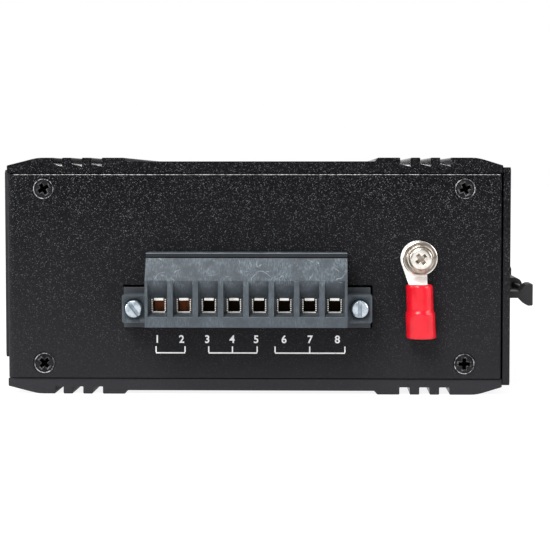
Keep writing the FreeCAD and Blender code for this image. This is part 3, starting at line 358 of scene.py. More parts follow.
# Painted shade: the clamps take a dark nickel, as they sit in shade behind the entries.
PAINTED_SHADE_CLAMP = plated("nickel_clamp_painted_shade", "#4d4b46", 0.4, "#33302b")
COPPER = contact_metal("tarnished_copper_alloy", "#7d4a31", "#1c1510", CONTACTS[0].x + 1.7 * POLE_PITCH)
GOLD = plated("gold_flashed_contact", "#e2bd6a", 0.25, "#c79f4c")
PLUG = scuffed_plastic("slate_polyamide_plug", "#3a4147", "#6c767e", "#aeb8bf",
                       (PLUG_TOP - 6.8 * MM, PLUG_TOP - 6.0 * MM))
# Painted highlight on the plug's brow edge and under its entries.
PAINTED_HIGHLIGHT_PLUG = moulded("polyamide_edge_painted_highlight", "#848e95", 0.5)
# Painted shade: a darker polyamide for the upright faces of the brow.
PAINTED_SHADE_BROW = moulded("slate_polyamide_brow_painted_shade", "#1c2024", 0.5, Specular_IOR_Level=0.25)
HEADER = moulded("slate_polyamide_header", "#2c3035", 0.5)
CLIP = moulded("black_nylon_clip", "#1e1e20", 0.5, Specular_IOR_Level=0.3)
MOULDING = moulded("black_moulding", "#131315", 0.5)
SLEEVE = vinyl("red_vinyl_sleeve", "#dd1328", "#c90c1f")
GUIDE = moulded("clear_acrylic_guide", "#c9d0cf", 0.15, Transmission_Weight=0.4)
BOARD = laminate("green_laminate")
CHIP = moulded("moulded_epoxy", "#1b1b1c", 0.45)
PAD = moulded("silicone_heat_pad", "#8fa0b5", 0.7)
ALUMINIUM = plated("sawn_aluminium", "#d6d8da", 0.38, "#b8babd")
FERRITE = moulded("moulded_ferrite", "#2b2b2e", 0.6)
RELAY = moulded("relay_case", "#2a3f7a", 0.35)
CAN = moulded("sleeved_capacitor", "#1d2344", 0.3)
INK = print_ink("white_print")


# ------------------------------------------------------------------ mesh helpers
def new_object(name, content, finish=None):
    """Puts a mesh, text, light or camera into the scene."""
    made = bpy.data.objects.new(name, content)
    bpy.context.scene.collection.objects.link(made)
    if finish:
        content.materials.append(finish)
    return made


def shade_smooth(mesh, crease):
    """Shades a mesh smooth, apart from edges that turn by more than the crease in degrees."""
    for polygon in mesh.polygons:
        polygon.use_smooth = True
    mesh.set_sharp_from_angle(angle=math.radians(crease))


def from_bmesh(name, shape, finish=None, crease=CREASE):
    mesh = bpy.data.meshes.new(name)
    shape.to_mesh(mesh)
    shape.free()
    shade_smooth(mesh, crease)
    return new_object(name, mesh, finish)


def apply_modifiers(piece):
    """Turns a piece and its modifiers into a plain mesh."""
    graph = bpy.context.evaluated_depsgraph_get()
    mesh = bpy.data.meshes.new_from_object(piece.evaluated_get(graph))
    old = piece.data
    piece.modifiers.clear()
    piece.data = mesh
    bpy.data.meshes.remove(old)


def round_edges(piece, width_mm, least_angle):
    """Adds a bevel for the edges that turn by more than an angle in degrees."""
    bevel = piece.modifiers.new("edges", "BEVEL")
    bevel.width = width_mm * MM
    bevel.segments = 2
    bevel.limit_method = "ANGLE"
    bevel.angle_limit = math.radians(least_angle)
    return bevel


def joined_corners(node):
    """A copy of a solid's mesh in which faces share their corners."""
    shape = bmesh.new()
    shape.from_mesh(nodes[node].data)
    bmesh.ops.remove_doubles(shape, verts=shape.verts, dist=WELD)
    return shape


def softened(node, finish, width_mm, eased=(), rim=None):
    """Copy of a solid with its sharp edges rounded, which stands for the solid.

    Each entry of eased is a test of a corner's place and a width in millimetres: edges between corners that
    pass are rounded first, to that width, and take the rim finish.
    """
    shape = joined_corners(node)
    bmesh.ops.dissolve_limit(shape, angle_limit=math.radians(1.0), verts=shape.verts, edges=shape.edges)
    for test, wide in eased:
        edges = [edge for edge in shape.edges if edge.calc_face_angle(0.0) > 0.5
                 and all(test(corner.co) for corner in edge.verts)]
        bmesh.ops.bevel(shape, geom=edges, offset=wide * MM, offset_type="OFFSET", segments=2, profile=0.5,
                        affect="EDGES", clamp_overlap=False, material=1)
    mesh = bpy.data.meshes.new(node + "_finish")
    mesh.materials.append(finish)
    if rim:
        mesh.materials.append(rim)
    shape.to_mesh(mesh)
    shape.free()
    shade_smooth(mesh, CREASE)
    piece = new_object(node + "_finish", mesh)
    bevel = round_edges(piece, width_mm, 28)
    bevel.use_clamp_overlap = True
    bevel.harden_normals = True
    apply_modifiers(piece)
    dress(piece, node)
    return piece


def darken_recess(piece, places, depths, reach_mm, finish):
    """Gives the faces in each driver recess their own finish, between two depths and within a reach. The
    finish paints shade into a recess, or a highlight on the ledge round it.
    """
    piece.data.materials.append(finish)
    for polygon in piece.data.polygons:
        for point, outward, _ in places:
            offset = polygon.center - point
            depth = -offset.dot(outward)
            aside = (offset + outward * depth).length
            if depths[0] * MM < depth < depths[1] * MM and aside < reach_mm * MM:
                polygon.material_index = len(piece.data.materials) - 1


def dress(piece, *stands_for):
    """Rides a piece on the body of the solids that it stands for, and hides them."""
    node = stands_for[0]
    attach(piece, body_of(node))
    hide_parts(*stands_for)


def body_of(node):
    for body, members in frame["record"]["behaviour"]["bodies"].items():
        if node in members:
            return body
    raise ValueError(node)


def coat(node, finish):
    """Gives a solid that keeps its own shape its finish."""
    solid = nodes[node]
    solid.data.materials.clear()
    solid.data.materials.append(finish)


def islands(node):
    """Lowest and highest corner of each separate solid in a node."""
    shape = joined_corners(node)
    seen = set()
    boxes = []
    for start in shape.verts:
        if start in seen:
            continue
        seen.add(start)
        stack = [start]
        low = start.co.copy()
        high = start.co.copy()
        while stack:
            vertex = stack.pop()
            for axis in range(3):
                low[axis] = min(low[axis], vertex.co[axis])
                high[axis] = max(high[axis], vertex.co[axis])
            for edge in vertex.link_edges:
                other = edge.other_vert(vertex)
                if other not in seen:
                    seen.add(other)
                    stack.append(other)
        boxes.append((low, high))
    shape.free()
    return boxes


def lathe(profile, steps):
    """A profile of (radius, height) in millimetres turned about Z, with outward faces."""
    shape = bmesh.new()
    points = [shape.verts.new((radius * MM, 0, height * MM)) for radius, height in profile]
    edges = [shape.edges.new(pair) for pair in zip(points, points[1:] + points[:1])]
    bmesh.ops.spin(shape, geom=points + edges, cent=(0, 0, 0), axis=AXIS_Z, angle=math.tau, steps=steps,
                   use_merge=True)
    bmesh.ops.remove_doubles(shape, verts=shape.verts, dist=0.0005 * MM)
    bmesh.ops.recalc_face_normals(shape, faces=shape.faces)
    return shape


def cutter_block(width, length, low, high):
    shape = bmesh.new()
    bmesh.ops.create_cube(shape, size=1.0)
    bmesh.ops.scale(shape, vec=(width * MM, length * MM, (high - low) * MM), verts=shape.verts)
    bmesh.ops.translate(shape, vec=(0, 0, (high + low) / 2 * MM), verts=shape.verts)
    return shape


def cut(piece, cutters):
    """Takes each shape away from a piece."""
    for shape in cutters:
        tool = from_bmesh("tool", shape)
        boolean = piece.modifiers.new("cut", "BOOLEAN")
        boolean.operation = "DIFFERENCE"
        boolean.solver = "EXACT"
        boolean.object = tool
        apply_modifiers(piece)
        bpy.data.objects.remove(tool)


def rounded(piece, width_mm):
    round_edges(piece, width_mm, 38)
    apply_modifiers(piece)
    shade_smooth(piece.data, MACHINED_CREASE)
    return piece


# ------------------------------------------------------------------ fasteners, set out by Geometry Nodes
def fastener_tree():
    """Sets one fastener on each point, turned by the point's own aim, and gives it its material."""
    tree = bpy.data.node_groups.new("set_out_fasteners", "GeometryNodeTree")
    face = tree.interface
    face.new_socket("Geometry", in_out="INPUT", socket_type="NodeSocketGeometry")
    face.new_socket("Fastener", in_out="INPUT", socket_type="NodeSocketObject")
    face.new_socket("Material", in_out="INPUT", socket_type="NodeSocketMaterial")
    face.new_socket("Geometry", in_out="OUTPUT", socket_type="NodeSocketGeometry")
    given = add(tree, "NodeGroupInput").outputs
    shape = add(tree, "GeometryNodeObjectInfo", {"Object": given["Fastener"]}).outputs["Geometry"]
    aim = add(tree, "GeometryNodeInputNamedAttribute", {"Name": "aim"}, data_type="FLOAT_VECTOR").outputs[0]
    turn = add(tree, "FunctionNodeEulerToRotation", {0: aim}).outputs[0]
    placed = add(tree, "GeometryNodeInstanceOnPoints",
                 {"Points": given["Geometry"], "Instance": shape, "Rotation": turn}).outputs[0]
    solid = add(tree, "GeometryNodeRealizeInstances", {0: placed}).outputs[0]
    coated = add(tree, "GeometryNodeSetMaterial",
                 {"Geometry": solid, "Material": given["Material"]}).outputs[0]
    add(tree, "NodeGroupOutput", {0: coated})
    return tree


FASTENER_TREE = fastener_tree()


def set_out(name, unit, places, finish):
    """One mesh of a fastener at each place: (point, outward direction, turn in degrees)."""
    mesh = bpy.data.meshes.new(name)
    mesh.from_pydata([place[0] for place in places], [], [])
    aims = mesh.attributes.new("aim", "FLOAT_VECTOR", "POINT")
    for index, (_, outward, turn) in enumerate(places):
        spin = Matrix.Rotation(math.radians(turn), 3, "Z").to_quaternion()
        aims.data[index].vector = (outward.to_track_quat("Z", "Y") @ spin).to_euler()
    piece = new_object(name, mesh)
    modifier = piece.modifiers.new("set_out", "NODES")
    modifier.node_group = FASTENER_TREE
    sockets = {item.name: item.identifier for item in FASTENER_TREE.interface.items_tree
               if item.in_out == "INPUT"}
    modifier[sockets["Fastener"]] = unit
    modifier[sockets["Material"]] = finish
    apply_modifiers(piece)
    bpy.data.objects.remove(unit)
    shade_smooth(piece.data, MACHINED_CREASE)
    return piece


def cross_cutters(reach, depth, top, width):
    """Two crossed wedges: a cross recess that narrows towards its foot."""
    shapes = []
    for turn in (0, 90):
        shape = cutter_block(2 * reach, width, top - depth, top + 1)
        for vertex in shape.verts:
            if vertex.co.z < top * MM:
                vertex.co.x *= 0.5
        bmesh.ops.rotate(shape, matrix=Matrix.Rotation(math.radians(turn), 3, "Z"), verts=shape.verts)
        shapes.append(shape)
    return shapes


def countersunk_unit(radius, head, length):
    """Countersunk cross-recess screw, head just below the origin, with a shallow ledge round the recess."""
    face, edge = -0.12, -0.3
    cone = head - radius
    profile = [(0, face), (0.84 * head, face), (0.87 * head, edge), (0.92 * head, edge), (head, edge),
               (radius, edge - cone), (radius, -length), (0, -length)]
    screw = from_bmesh("countersunk_unit", lathe(profile, 40))
    cut(screw, cross_cutters(reach=1.25 * head, depth=0.1, top=face, width=0.52 * head))
    cut(screw, cross_cutters(reach=0.72 * head, depth=0.6 * head, top=face, width=0.36 * head))
    return rounded(screw, 0.03)


def finish_recess(screws, places, head, ledge, recess):
    """Gives countersunk screws their ledge and the recess below it: the ledge takes a painted highlight on
    black screws and painted shade on zinc ones, and the recess painted shade.
    """
    reach = 0.74 * head
    ledge_top, ledge_foot, recess_foot = 0.125, 0.24, 0.8 * head
    darken_recess(screws, places, (ledge_top, ledge_foot), reach, ledge)
    darken_recess(screws, places, (ledge_foot, recess_foot), reach, recess)


def rim_unit(head):
    """Thin bright ring on a screw's edge: metal rubbed bright there, and a painted highlight of the edge."""
    profile = [(head - 0.24, -0.16), (head - 0.17, -0.1), (head - 0.09, -0.1), (head - 0.01, -0.18),
               (head - 0.02, -0.32), (head - 0.22, -0.32)]
    return from_bmesh("rim_unit", lathe(profile, 48))


def middle(box):
    return (box[0] + box[1]) / 2


def end_screws():
    """Countersunk screws of both end faces, each turned in its own way, with bright rims that are partly a
    painted highlight.
    """
    places = []
    turns = {(False, True): 30.0, (False, False): 45.0, (True, True): 22.0, (True, False): 0.0}
    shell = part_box("front_shell")
    centre = middle(shell)
    boxes = islands("end_screws")
    for low, high in boxes:
        spot = middle((low, high))
        near = spot.y < centre.y
        spot.y = low.y if near else high.y
        outward = -AXIS_Y if near else AXIS_Y
        places.append((spot, outward, turns[(spot.x > centre.x, spot.z > centre.z)]))
    low, high = boxes[0]
    head = (high.x - low.x) / 2 / MM
    length = (high.y - low.y) / MM
    shank = 0.58 * head
    screws = set_out("end_screws_finish", countersunk_unit(shank, head, length), places, BLACK_OXIDE)
    finish_recess(screws, places, head, PAINTED_HIGHLIGHT_LEDGE, PAINTED_SHADE_RECESS)
    dress(screws, "end_screws")
    rims = set_out("end_screw_rims", rim_unit(head), places, RUBBED_OXIDE_PAINTED_HIGHLIGHT)
    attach(rims, body_of("end_screws"))


def side_screws(node, finish, ledge, recess, turn):
    """Countersunk screws with their heads on the rail side."""
    boxes = islands(node)
    places = [(Vector((high.x, (low.y + high.y) / 2, (low.z + high.z) / 2)), AXIS_X, turn + 25 * index)
              for index, (low, high) in enumerate(boxes)]
    low, high = boxes[0]
    head = (high.z - low.z) / 2 / MM
    length = (high.x - low.x) / MM
    shank = 0.55 * head
    screws = set_out(node + "_finish", countersunk_unit(shank, head, length), places, finish)
    finish_recess(screws, places, head, ledge, recess)
    dress(screws, node)


def pan_unit(radius, head, height, length):
    """Pan head, domed, with a cross recess; the head stands on the origin."""
    profile = [(0, height), (0.6 * head, 0.99 * height), (0.82 * head, 0.95 * height),
               (0.93 * head, 0.86 * height), (0.985 * head, 0.7 * height), (head, 0.5 * height),
               (head, 0), (radius, 0), (radius, -length), (0, -length)]
    screw = from_bmesh("pan_unit", lathe(profile, 56))
    cut(screw, cross_cutters(reach=0.62 * head, depth=0.8 * height, top=height, width=0.3 * head))
    return rounded(screw, 0.08)


def washer_unit(bore, outer, thick, round_mm):
    """Washer with a rolled outer edge, standing on the origin."""
    edge = min(round_mm, 0.45 * thick)
    profile = [(bore, 0), (bore, thick - 0.05), (bore + 0.05, thick), (outer - 2.2 * edge, thick),
               (outer - 1.3 * edge, thick - 0.12 * edge), (outer - 0.4 * edge, thick - 0.6 * edge),
               (outer, thick - 1.4 * edge if thick > 1.5 * edge else 0.3 * thick), (outer, 0)]
    return from_bmesh("washer_unit", lathe(profile, 64))


def slotted_unit(radius, head, height, length, slot):
    """Cheese head with one driver slot; the head stands on the origin."""
    profile = [(0, height), (head - 0.25, height), (head, height - 0.22), (head, 0), (radius, 0),
               (radius, -length), (0, -length)]
    screw = from_bmesh("slotted_unit", lathe(profile, 40))
    cut(screw, [cutter_block(width=2.2 * head, length=slot, low=0.45 * height, high=height + 1)])
    return rounded(screw, 0.06)


def finish_flank(piece, finish):
    """Gives the standing faces round a head or washer on the terminal end their own finish; where that is the
    darker zinc, it is painted shade.
    """
    piece.data.materials.append(finish)
    for polygon in piece.data.polygons:
        if abs(polygon.normal.y) < 0.92 and polygon.material_index == 0:
            polygon.material_index = len(piece.data.materials) - 1


def earth_fastening():
    """Pan-head screw of the earth terminal and its two washers."""
    shank, bore = 1.5, 1.7
    low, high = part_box("earth_screw")
    spot = middle((low, high))
    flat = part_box("earth_flat_washer")
    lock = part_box("earth_lock_washer")
    head = (high.x - low.x) / 2 / MM
    seat = lock[0].y
    spot.y = seat
    height = (seat - low.y) / MM
    length = (high.y - seat) / MM
    places = [(spot, -AXIS_Y, 38)]
    screw = set_out("earth_screw_finish", pan_unit(shank, head, height, length), places, ZINC)
    # Painted shade: darker zinc in the head's recess and on its flank.
    darken_recess(screw, places, (-0.86 * height, 0.0), 0.6 * head, PAINTED_SHADE_ZINC)
    finish_flank(screw, PAINTED_SHADE_ZINC)
    dress(screw, "earth_screw")
    # Earth washers: darker zinc on the flat washer's face is a painted dark reflection, with plain zinc on
    # its flank; darker zinc on the lock washer's flank is painted shade.
    for node, box, round_mm, finish, flank in (("earth_flat_washer", flat, 0.2, PAINTED_DARK_ZINC, ZINC),
                                               ("earth_lock_washer", lock, 0.3, ZINC, PAINTED_SHADE_ZINC)):
        outer = (box[1].x - box[0].x) / 2 / MM
        thick = (box[1].y - box[0].y) / MM
        washer = set_out(node + "_finish", washer_unit(bore, outer, thick, round_mm),
                         [(Vector((spot.x, box[1].y, spot.z)), -AXIS_Y, 0)], finish)
        finish_flank(washer, flank)
        dress(washer, node)


FLANGE_HEAD = 1.6           # millimetres from the face of a flange screw to its seat


def plug_screws():
    """Slotted screws of the plug: two in its flanges and one on each clamp."""
    boxes = sorted(islands("plug_flange_screws"), key=lambda pair: pair[0].x)
    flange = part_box("plug_flange_screws")
    low, high = boxes[0]
    head = (high.x - low.x) / 2 / MM
    height = FLANGE_HEAD
    places = []
    for (low, high), turn in zip(boxes, (-52.0, 90.0)):
        spot = middle((low, high))
        spot.y = low.y + height * MM
        places.append((spot, -AXIS_Y, turn))
    length = (flange[1].y - flange[0].y) / MM - height
    unit = slotted_unit(radius=1.2, head=head, height=height, length=length, slot=0.7)
    screws = set_out("plug_flange_screws_finish", unit, places, BLUE_ZINC)
    # Painted shade: the faces of each slot take a darker zinc.
    darken_recess(screws, places, (-0.9 * height, -0.2 * height), 0.98 * head, PAINTED_SHADE_BLUE_ZINC)
    dress(screws, "plug_flange_screws")
    boxes = islands("plug_clamp_screws")
    low, high = boxes[0]
    head = (high.x - low.x) / 2 / MM
    height = 1.5
    places = []
    for index, (low, high) in enumerate(sorted(boxes, key=lambda pair: pair[0].x)):
        spot = middle((low, high))
        spot.z = high.z - height * MM
        places.append((spot, AXIS_Z, 20 + 37 * index))
    unit = slotted_unit(radius=0.92, head=head, height=height, length=0.8, slot=0.5)
    dress(set_out("plug_clamp_screws_finish", unit, places, MATT_TIN), "plug_clamp_screws")


# ------------------------------------------------------------------ printed markings
INK_LIFT = 0.03 * MM
NUMBER_HEIGHT = 1.55 * MM
# Along the terminal end, from the middle of the first pole.
NUMBER_PLACES_MM = (-1.0, 4.05, 9.35, 14.5, 19.45, 25.2, 30.55, 36.2)
BRACKET_TICKS_MM = ((-1.25, 4.75), (9.65, 14.55, 19.65), (23.35, 30.5, 37.75))


def flat_text(text, height, centre):
    """A plain number printed on the terminal end, as a thin mesh."""
    curve = bpy.data.curves.new("digit", "FONT")
    curve.body = text
    curve.size = height / 0.7
    curve.align_x = "CENTER"
    curve.align_y = "CENTER"
    curve.extrude = INK_LIFT
    curve.offset = 0.045 * MM
    holder = new_object("digit", curve)
    graph = bpy.context.evaluated_depsgraph_get()
    mesh = bpy.data.meshes.new_from_object(holder.evaluated_get(graph))
    bpy.data.objects.remove(holder)
    mesh.transform(Matrix.Translation(centre) @ Matrix.Rotation(math.radians(90), 4, "X"))
    return mesh


def bar(shape, x0, x1, z0, z1, y, lift):
    """Adds a flat bar that stands out from a face at y, without its back."""
    corners = [shape.verts.new((x, y + side, z)) for side in (-lift, 0.01 * MM)
               for x, z in ((x0, z0), (x1, z0), (x1, z1), (x0, z1))]
    for face in ((0, 1, 2, 3), (7, 6, 5, 4), (0, 4, 5, 1), (1, 5, 6, 2), (2, 6, 7, 3), (3, 7, 4, 0)):
        shape.faces.new([corners[index] for index in face])


def markings():
    """Numbers under the poles and the brackets that join them in groups."""
    first = min((low.x + high.x) / 2 for low, high in islands("plug_clamps"))
    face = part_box("front_shell")[0].y
    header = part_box("terminal_header")
    number_z = header[0].z - 2.55 * MM
    shape = bmesh.new()
    for index, along in enumerate(NUMBER_PLACES_MM):
        mesh = flat_text(str(index + 1), NUMBER_HEIGHT, Vector((first + along * MM, face, number_z)))
        shape.from_mesh(mesh)
        bpy.data.meshes.remove(mesh)
    line = 0.26 * MM
    bracket_z = number_z - 2.9 * MM
    tick = 1.5 * MM
    for ticks in BRACKET_TICKS_MM:
        marks = [first + along * MM for along in ticks]
        bar(shape, marks[0], marks[-1], bracket_z, bracket_z + line, face, INK_LIFT)
        for x in marks:
            bar(shape, x - line / 2, x + line / 2, bracket_z + line, bracket_z + tick, face, INK_LIFT)
    bmesh.ops.recalc_face_normals(shape, faces=shape.faces)
    piece = from_bmesh("terminal_markings", shape, INK)
    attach(piece, body_of("front_shell"))


# ------------------------------------------------------------------ the pieces
def sleeve():
    """Vinyl sleeve with a soft collar, a step and an open flared mouth."""
    low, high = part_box("ring_sleeve")
    spot = Vector(((low.x + high.x) / 2, (low.y + high.y) / 2, high.z))
    length = (high.z - low.z) / MM
    wide = (high.x - low.x) / 2 / MM + 0.1
    neck = wide - 0.3
    bore = 2.15
    step = 5.5
    collar = [(bore, -0.1), (neck - 0.55, 0), (neck - 0.25, -0.08), (neck - 0.06, -0.3), (neck, -0.7),
              (neck - 0.02, -step + 0.5), (neck, -step)]
    body = [(wide - 0.06, -step - 0.25), (wide - 0.04, -step - 0.7), (wide - 0.06, -length + 2.5)]
    mouth = [(wide, -length + 0.5), (wide - 0.04, -length + 0.15), (wide - 0.2, -length),
             (bore + 0.25, -length), (bore + 0.05, -length + 0.2), (bore, -length + 0.8)]
    shape = lathe(collar + body + mouth, 72)
    bmesh.ops.translate(shape, vec=spot, verts=shape.verts)
    piece = from_bmesh("ring_sleeve_finish", shape, SLEEVE, 50)
    lean(piece, high.z)
    dress(piece, "ring_sleeve")


def lean(piece, from_height):
    """Leans a piece a little to the rail side below a height."""
    slope = math.tan(math.radians(LEAN))
    for vertex in piece.data.vertices:
        below = from_height - vertex.co.z
        if below > 0:
            vertex.co.x += slope * below


def end_edge(box, height):
    """Test for corners on either end face of a box at one height."""
    low, high = box
    slack = 0.03 * MM
    return lambda spot: (abs(spot.z - height) < slack
                         and min(abs(spot.y - low.y), abs(spot.y - high.y)) < slack)


def coated_housing():
    """Shell and covers: the shell's upper edges on its end faces and the front edges of the groove feet take
    a painted highlight.
    """
    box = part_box("front_shell")
    softened("front_shell", COAT_SHELL, 0.12, eased=((end_edge(box, box[1].z), 0.15),), rim=PAINTED_HIGHLIGHT_COAT)
    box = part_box("side_cover_upper")
    softened("side_cover_upper", COAT_COVER, 0.14, eased=((end_edge(box, box[1].z - GROOVE_DEPTH), 0.26),),
             rim=PAINTED_HIGHLIGHT_FOOT)
    softened("side_cover_lower", COAT_COVER, 0.14)


def clamp_teeth():
    """Serrated front edges of the clamps, with the bright lip below and the wire guard above each entry."""
    proud = 0.12 * MM
    half_entry = 1.3 * MM
    half_guard = 0.95 * MM
    margin = 0.3 * MM
    tooth_pitch = 0.43
    shape = bmesh.new()
    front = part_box("plug_clamps")[0].y + 0.01 * MM
    for low, high in islands("plug_clamps"):
        x = (low.x + high.x) / 2
        floor = low.z + margin
        roof = high.z - margin
        bar(shape, x - half_entry, x + half_entry, floor, floor + 0.17 * MM, front, proud)
        bar(shape, x - half_guard, x + half_guard, roof - 0.5 * MM, roof, front, proud)
        for side in (-1, 1):
            edges = sorted(x + side * (half_entry + reach * MM) for reach in (0.14, -0.1))
            for tooth in range(6):
                z = floor + (0.3 + tooth_pitch * tooth) * MM
                bar(shape, edges[0], edges[1], z, z + 0.24 * MM, front, proud)
    bmesh.ops.recalc_face_normals(shape, faces=shape.faces)
    piece = from_bmesh("clamp_teeth", shape, MATT_TIN)
    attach(piece, body_of("plug_clamps"))


def terminal_plug():
    """Plug housing: a brow darkened as painted shade, edges with a painted highlight, and a ring-shaped
    recess round each flange screw.
    """
    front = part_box("plug_housing")[0].y
    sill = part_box("plug_clamps")[0].z - 0.43 * MM
    brow_depth, brow_height = 3.2 * MM, 1.2 * MM
    slack = 0.04 * MM

    def on_brow(spot):
        return abs(spot.z - PLUG_TOP) < slack and spot.y < front + brow_depth

    def under_entry(spot):
        return abs(spot.z - sill) < slack and abs(spot.y - front) < slack

    # The brow's edge and the edge under each entry take a painted highlight.
    piece = softened("plug_housing", PLUG, 0.1, eased=((on_brow, 0.07), (under_entry, 0.12)), rim=PAINTED_HIGHLIGHT_PLUG)
    rings = []
    for low, high in islands("plug_flange_screws"):
        radius = (high.x - low.x) / 2 / MM
        inner, outer = radius - 0.1, radius + 0.25
        low_end, high_end = -1, 0.7
        ring = lathe([(inner, low_end), (outer, low_end), (outer, high_end), (inner, high_end)], 40)
        bmesh.ops.rotate(ring, matrix=Matrix.Rotation(math.radians(-90), 3, "X"), verts=ring.verts)
        seat = Vector(((low.x + high.x) / 2, low.y + FLANGE_HEAD * MM, (low.z + high.z) / 2))
        bmesh.ops.translate(ring, vec=seat, verts=ring.verts)
        rings.append(ring)
    cut(piece, rings)
    # Painted shade: the brow's upright faces take a darker polyamide.
    piece.data.materials.append(PAINTED_SHADE_BROW)
    for polygon in piece.data.polygons:
        upright = polygon.normal.y < -0.5 and abs(polygon.normal.z) < 0.3
        if upright and polygon.center.z > PLUG_TOP - brow_height:
            polygon.material_index = len(piece.data.materials) - 1


def contact_unit():
    """One gold-flashed contact wire of a port, bent back into the port; the port's mouth is at the origin."""
    half_wire = 0.17
    path = [(-4.1, -2.2), (-3.85, -2.2), (-3.55, -2.7), (-1.3, -9.6), (-1.3, -10.4)]
    shape = bmesh.new()
    rings = []
    for index, (y, z) in enumerate(path):
        before = Vector(path[max(index - 1, 0)])
        after = Vector(path[min(index + 1, len(path) - 1)])
        along = (after - before).normalized()
        side = Vector((-along.y, along.x)) * half_wire
        rings.append([shape.verts.new((x * MM, (y + sign * side.x) * MM, (z + sign * side.y) * MM))
                      for x, sign in ((-half_wire, -1), (half_wire, -1), (half_wire, 1), (-half_wire, 1))])
    for first, second in zip(rings, rings[1:]):
        for corner in range(4):
            following = (corner + 1) % 4
            shape.faces.new((first[corner], first[following], second[following], second[corner]))
    shape.faces.new(rings[0])
    shape.faces.new(reversed(rings[-1]))
    bmesh.ops.recalc_face_normals(shape, faces=shape.faces)
    return from_bmesh("contact_unit", shape)


def port_contacts():
    """Eight contact wires in each port, on the side away from its latch notch."""
    pitch = 1.02 * MM
    wires = 8
    places = []
    for opening in frame["record"]["physics"]["openings"]:
        if not opening["name"].startswith("port_"):
            continue
        low, high = (Vector(corner) for corner in opening["box_m"])
        spot = (low + high) / 2
        spot.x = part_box("port_module_1")[0].x
        turn = 180.0 if "upper" in opening["name"] else 0.0
        places += [(spot + AXIS_Y * pitch * (step - (wires - 1) / 2), -AXIS_X, turn) for step in range(wires)]
    piece = set_out("port_contacts", contact_unit(), places, GOLD)
    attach(piece, body_of("port_module_1"))


def spring():
    """Coil spring in the barrel, which shortens as the latch is pulled out."""
    piece = from_bmesh("latch_spring_finish", joined_corners("latch_spring"), WIRE_STEEL)
    dress(piece, "latch_spring")
    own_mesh(piece)


def metal_and_plastic():
    """Eased edges on the pieces that show, and a plain finish on those inside."""
    softened("rear_plate", COAT_SHELL, 0.2)
    softened("port_plate", COAT_PLATE, 0.2)
    softened("rail_clip", CLIP, 0.3)
    softened("rail_latch", CLIP, 0.25)
    softened("terminal_header", HEADER, 0.1)
    lean(softened("ring_terminal", TINNED, 0.12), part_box("ring_sleeve")[1].z)
    # Painted shade: the clamps are darkened where they sit back behind the plug's entries.
    softened("plug_clamps", PAINTED_SHADE_CLAMP, 0.06)
    softened("port_shield", TIN_SHEET, 0.08)
    for index in range(1, 5):
        softened("port_module_%d" % index, MOULDING, 0.12)
    for index in (1, 2):
        softened("module_cage_%d" % index, TIN_SHEET, 0.08)
    for node, finish in (("circuit_board", BOARD), ("board_standoffs", CLAMP_METAL), ("board_screws", ZINC),
                         ("light_guides", GUIDE), ("lamp_holder", MOULDING), ("header_nuts", ZINC),
                         ("header_pins", TINNED), ("plug_contacts", COPPER), ("earth_nut", ZINC),
                         ("switch_chip", CHIP), ("heat_pad", PAD), ("heat_block", ALUMINIUM),
                         ("line_transformers", CHIP), ("isolating_transformer", FERRITE),
                         ("alarm_relay", RELAY), ("power_inductor", FERRITE), ("capacitors", CAN)):
        coat(node, finish)


# ------------------------------------------------------------------ light, floor and camera
def sky():
    """White surround, dimmer as a light than as it is seen, with a dark ring that only gloss mirrors."""
    world = bpy.data.worlds.new("studio")
    bpy.context.scene.world = world
    tree = emptied_tree(world)
    path = add(tree, "ShaderNodeLightPath").outputs
    seen = calculate(tree, "MAXIMUM", path["Is Camera Ray"], path["Is Glossy Ray"])
    seen = calculate(tree, "MAXIMUM", seen, path["Is Transmission Ray"])
    plain = remap(tree, seen, 0.0, 1.0, 0.6, 1.0)
    towards = along_axis(tree, add(tree, "ShaderNodeTexCoord").outputs["Generated"], "Y")
    ring = calculate(tree, "MULTIPLY", remap(tree, towards, -0.4, -0.55), remap(tree, towards, -0.93, -0.84))
    ring = calculate(tree, "MULTIPLY", ring, path["Is Glossy Ray"])
    dark = remap(tree, ring, 0.0, 1.0, 1.0, 0.12)
    strength = calculate(tree, "MULTIPLY", plain, dark)
    surround = add(tree, "ShaderNodeBackground", {"Color": (1, 1, 1, 1), "Strength": strength})
    add(tree, "ShaderNodeOutputWorld", {"Surface": surround.outputs[0]})


def lamps():
    """Large soft lamps: name, place from the middle of the part, size in metres and power in watts."""
    centre = middle(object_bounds())
    for name, offset, size, power in (("key", (-0.25, -0.65, 0.62), 0.45, 7.0),
                                      ("side", (-0.9, -0.1, 0.35), 0.5, 5.0),
                                      ("rail_side", (0.8, -0.35, 0.4), 0.5, 3.0)):
        light = bpy.data.lights.new(name, "AREA")
        light.size = size
        light.energy = power
        holder = new_object(name, light)
        holder.location = centre + Vector(offset)
        holder.rotation_euler = (-Vector(offset)).to_track_quat("-Z", "Y").to_euler()


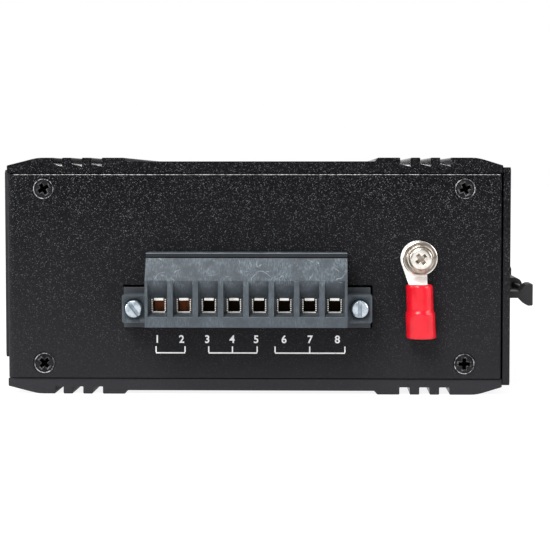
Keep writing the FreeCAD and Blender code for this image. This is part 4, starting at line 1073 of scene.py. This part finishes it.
def paper_floor():
    """Plain white floor that takes the part's shadow and glows a little where it is seen."""
    paper = bpy.data.materials.new("white_backdrop_paper")
    tree = emptied_tree(paper)
    matt = add(tree, "ShaderNodeBsdfDiffuse", {"Color": linear("#ffffff")})
    glow = add(tree, "ShaderNodeEmission", {"Color": (1, 1, 1, 1), "Strength": 1.15})
    path = add(tree, "ShaderNodeLightPath").outputs
    seen = calculate(tree, "MAXIMUM", path["Is Camera Ray"], path["Is Glossy Ray"])
    share = remap(tree, seen, 0.0, 1.0, 0.0, 0.77)
    mixed = add(tree, "ShaderNodeMixShader", {0: share, 1: matt.outputs[0], 2: glow.outputs[0]})
    add(tree, "ShaderNodeOutputMaterial", {"Surface": mixed.outputs[0]})
    mesh = bpy.data.meshes.new("floor")
    reach = 6.0
    corners = [(-reach, -reach, 0), (reach, -reach, 0), (reach, reach, 0), (-reach, reach, 0)]
    mesh.from_pydata(corners, [], [(0, 1, 2, 3)])
    floor = new_object("floor", mesh, paper)


def camera():
    """Long lens, level with the top of the terminal end and a little towards its rail side."""
    aside, back, up = 13.65 * MM, 361.6 * MM, 20.45 * MM
    tilt, pan = 3.17, 1.48
    low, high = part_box("front_shell")
    lens = bpy.data.cameras.new("camera")
    lens.sensor_width = 36.0
    lens.lens = 115.4
    holder = new_object("camera", lens)
    holder.location = ((low.x + high.x) / 2 + aside, low.y - back, (low.z + high.z) / 2 + up)
    holder.rotation_euler = (math.radians(90 - tilt), 0, math.radians(pan))
    bpy.context.scene.camera = holder


metal_and_plastic()
coated_housing()
clamp_teeth()
terminal_plug()
spring()
port_contacts()
sleeve()
end_screws()
# Black screws: painted highlight on the ledge, painted shade in the recess.
side_screws("rear_plate_screws", BLACK_OXIDE, PAINTED_HIGHLIGHT_LEDGE, PAINTED_SHADE_RECESS, 20)
# Zinc screws: darker zinc on the ledge and in the recess, as painted shade.
side_screws("clip_screws", ZINC, PAINTED_DARK_ZINC, PAINTED_SHADE_ZINC, 35)
earth_fastening()
plug_screws()
markings()
sky()
lamps()
paper_floor()
camera()
bpy.context.scene.view_settings.view_transform = "Standard"
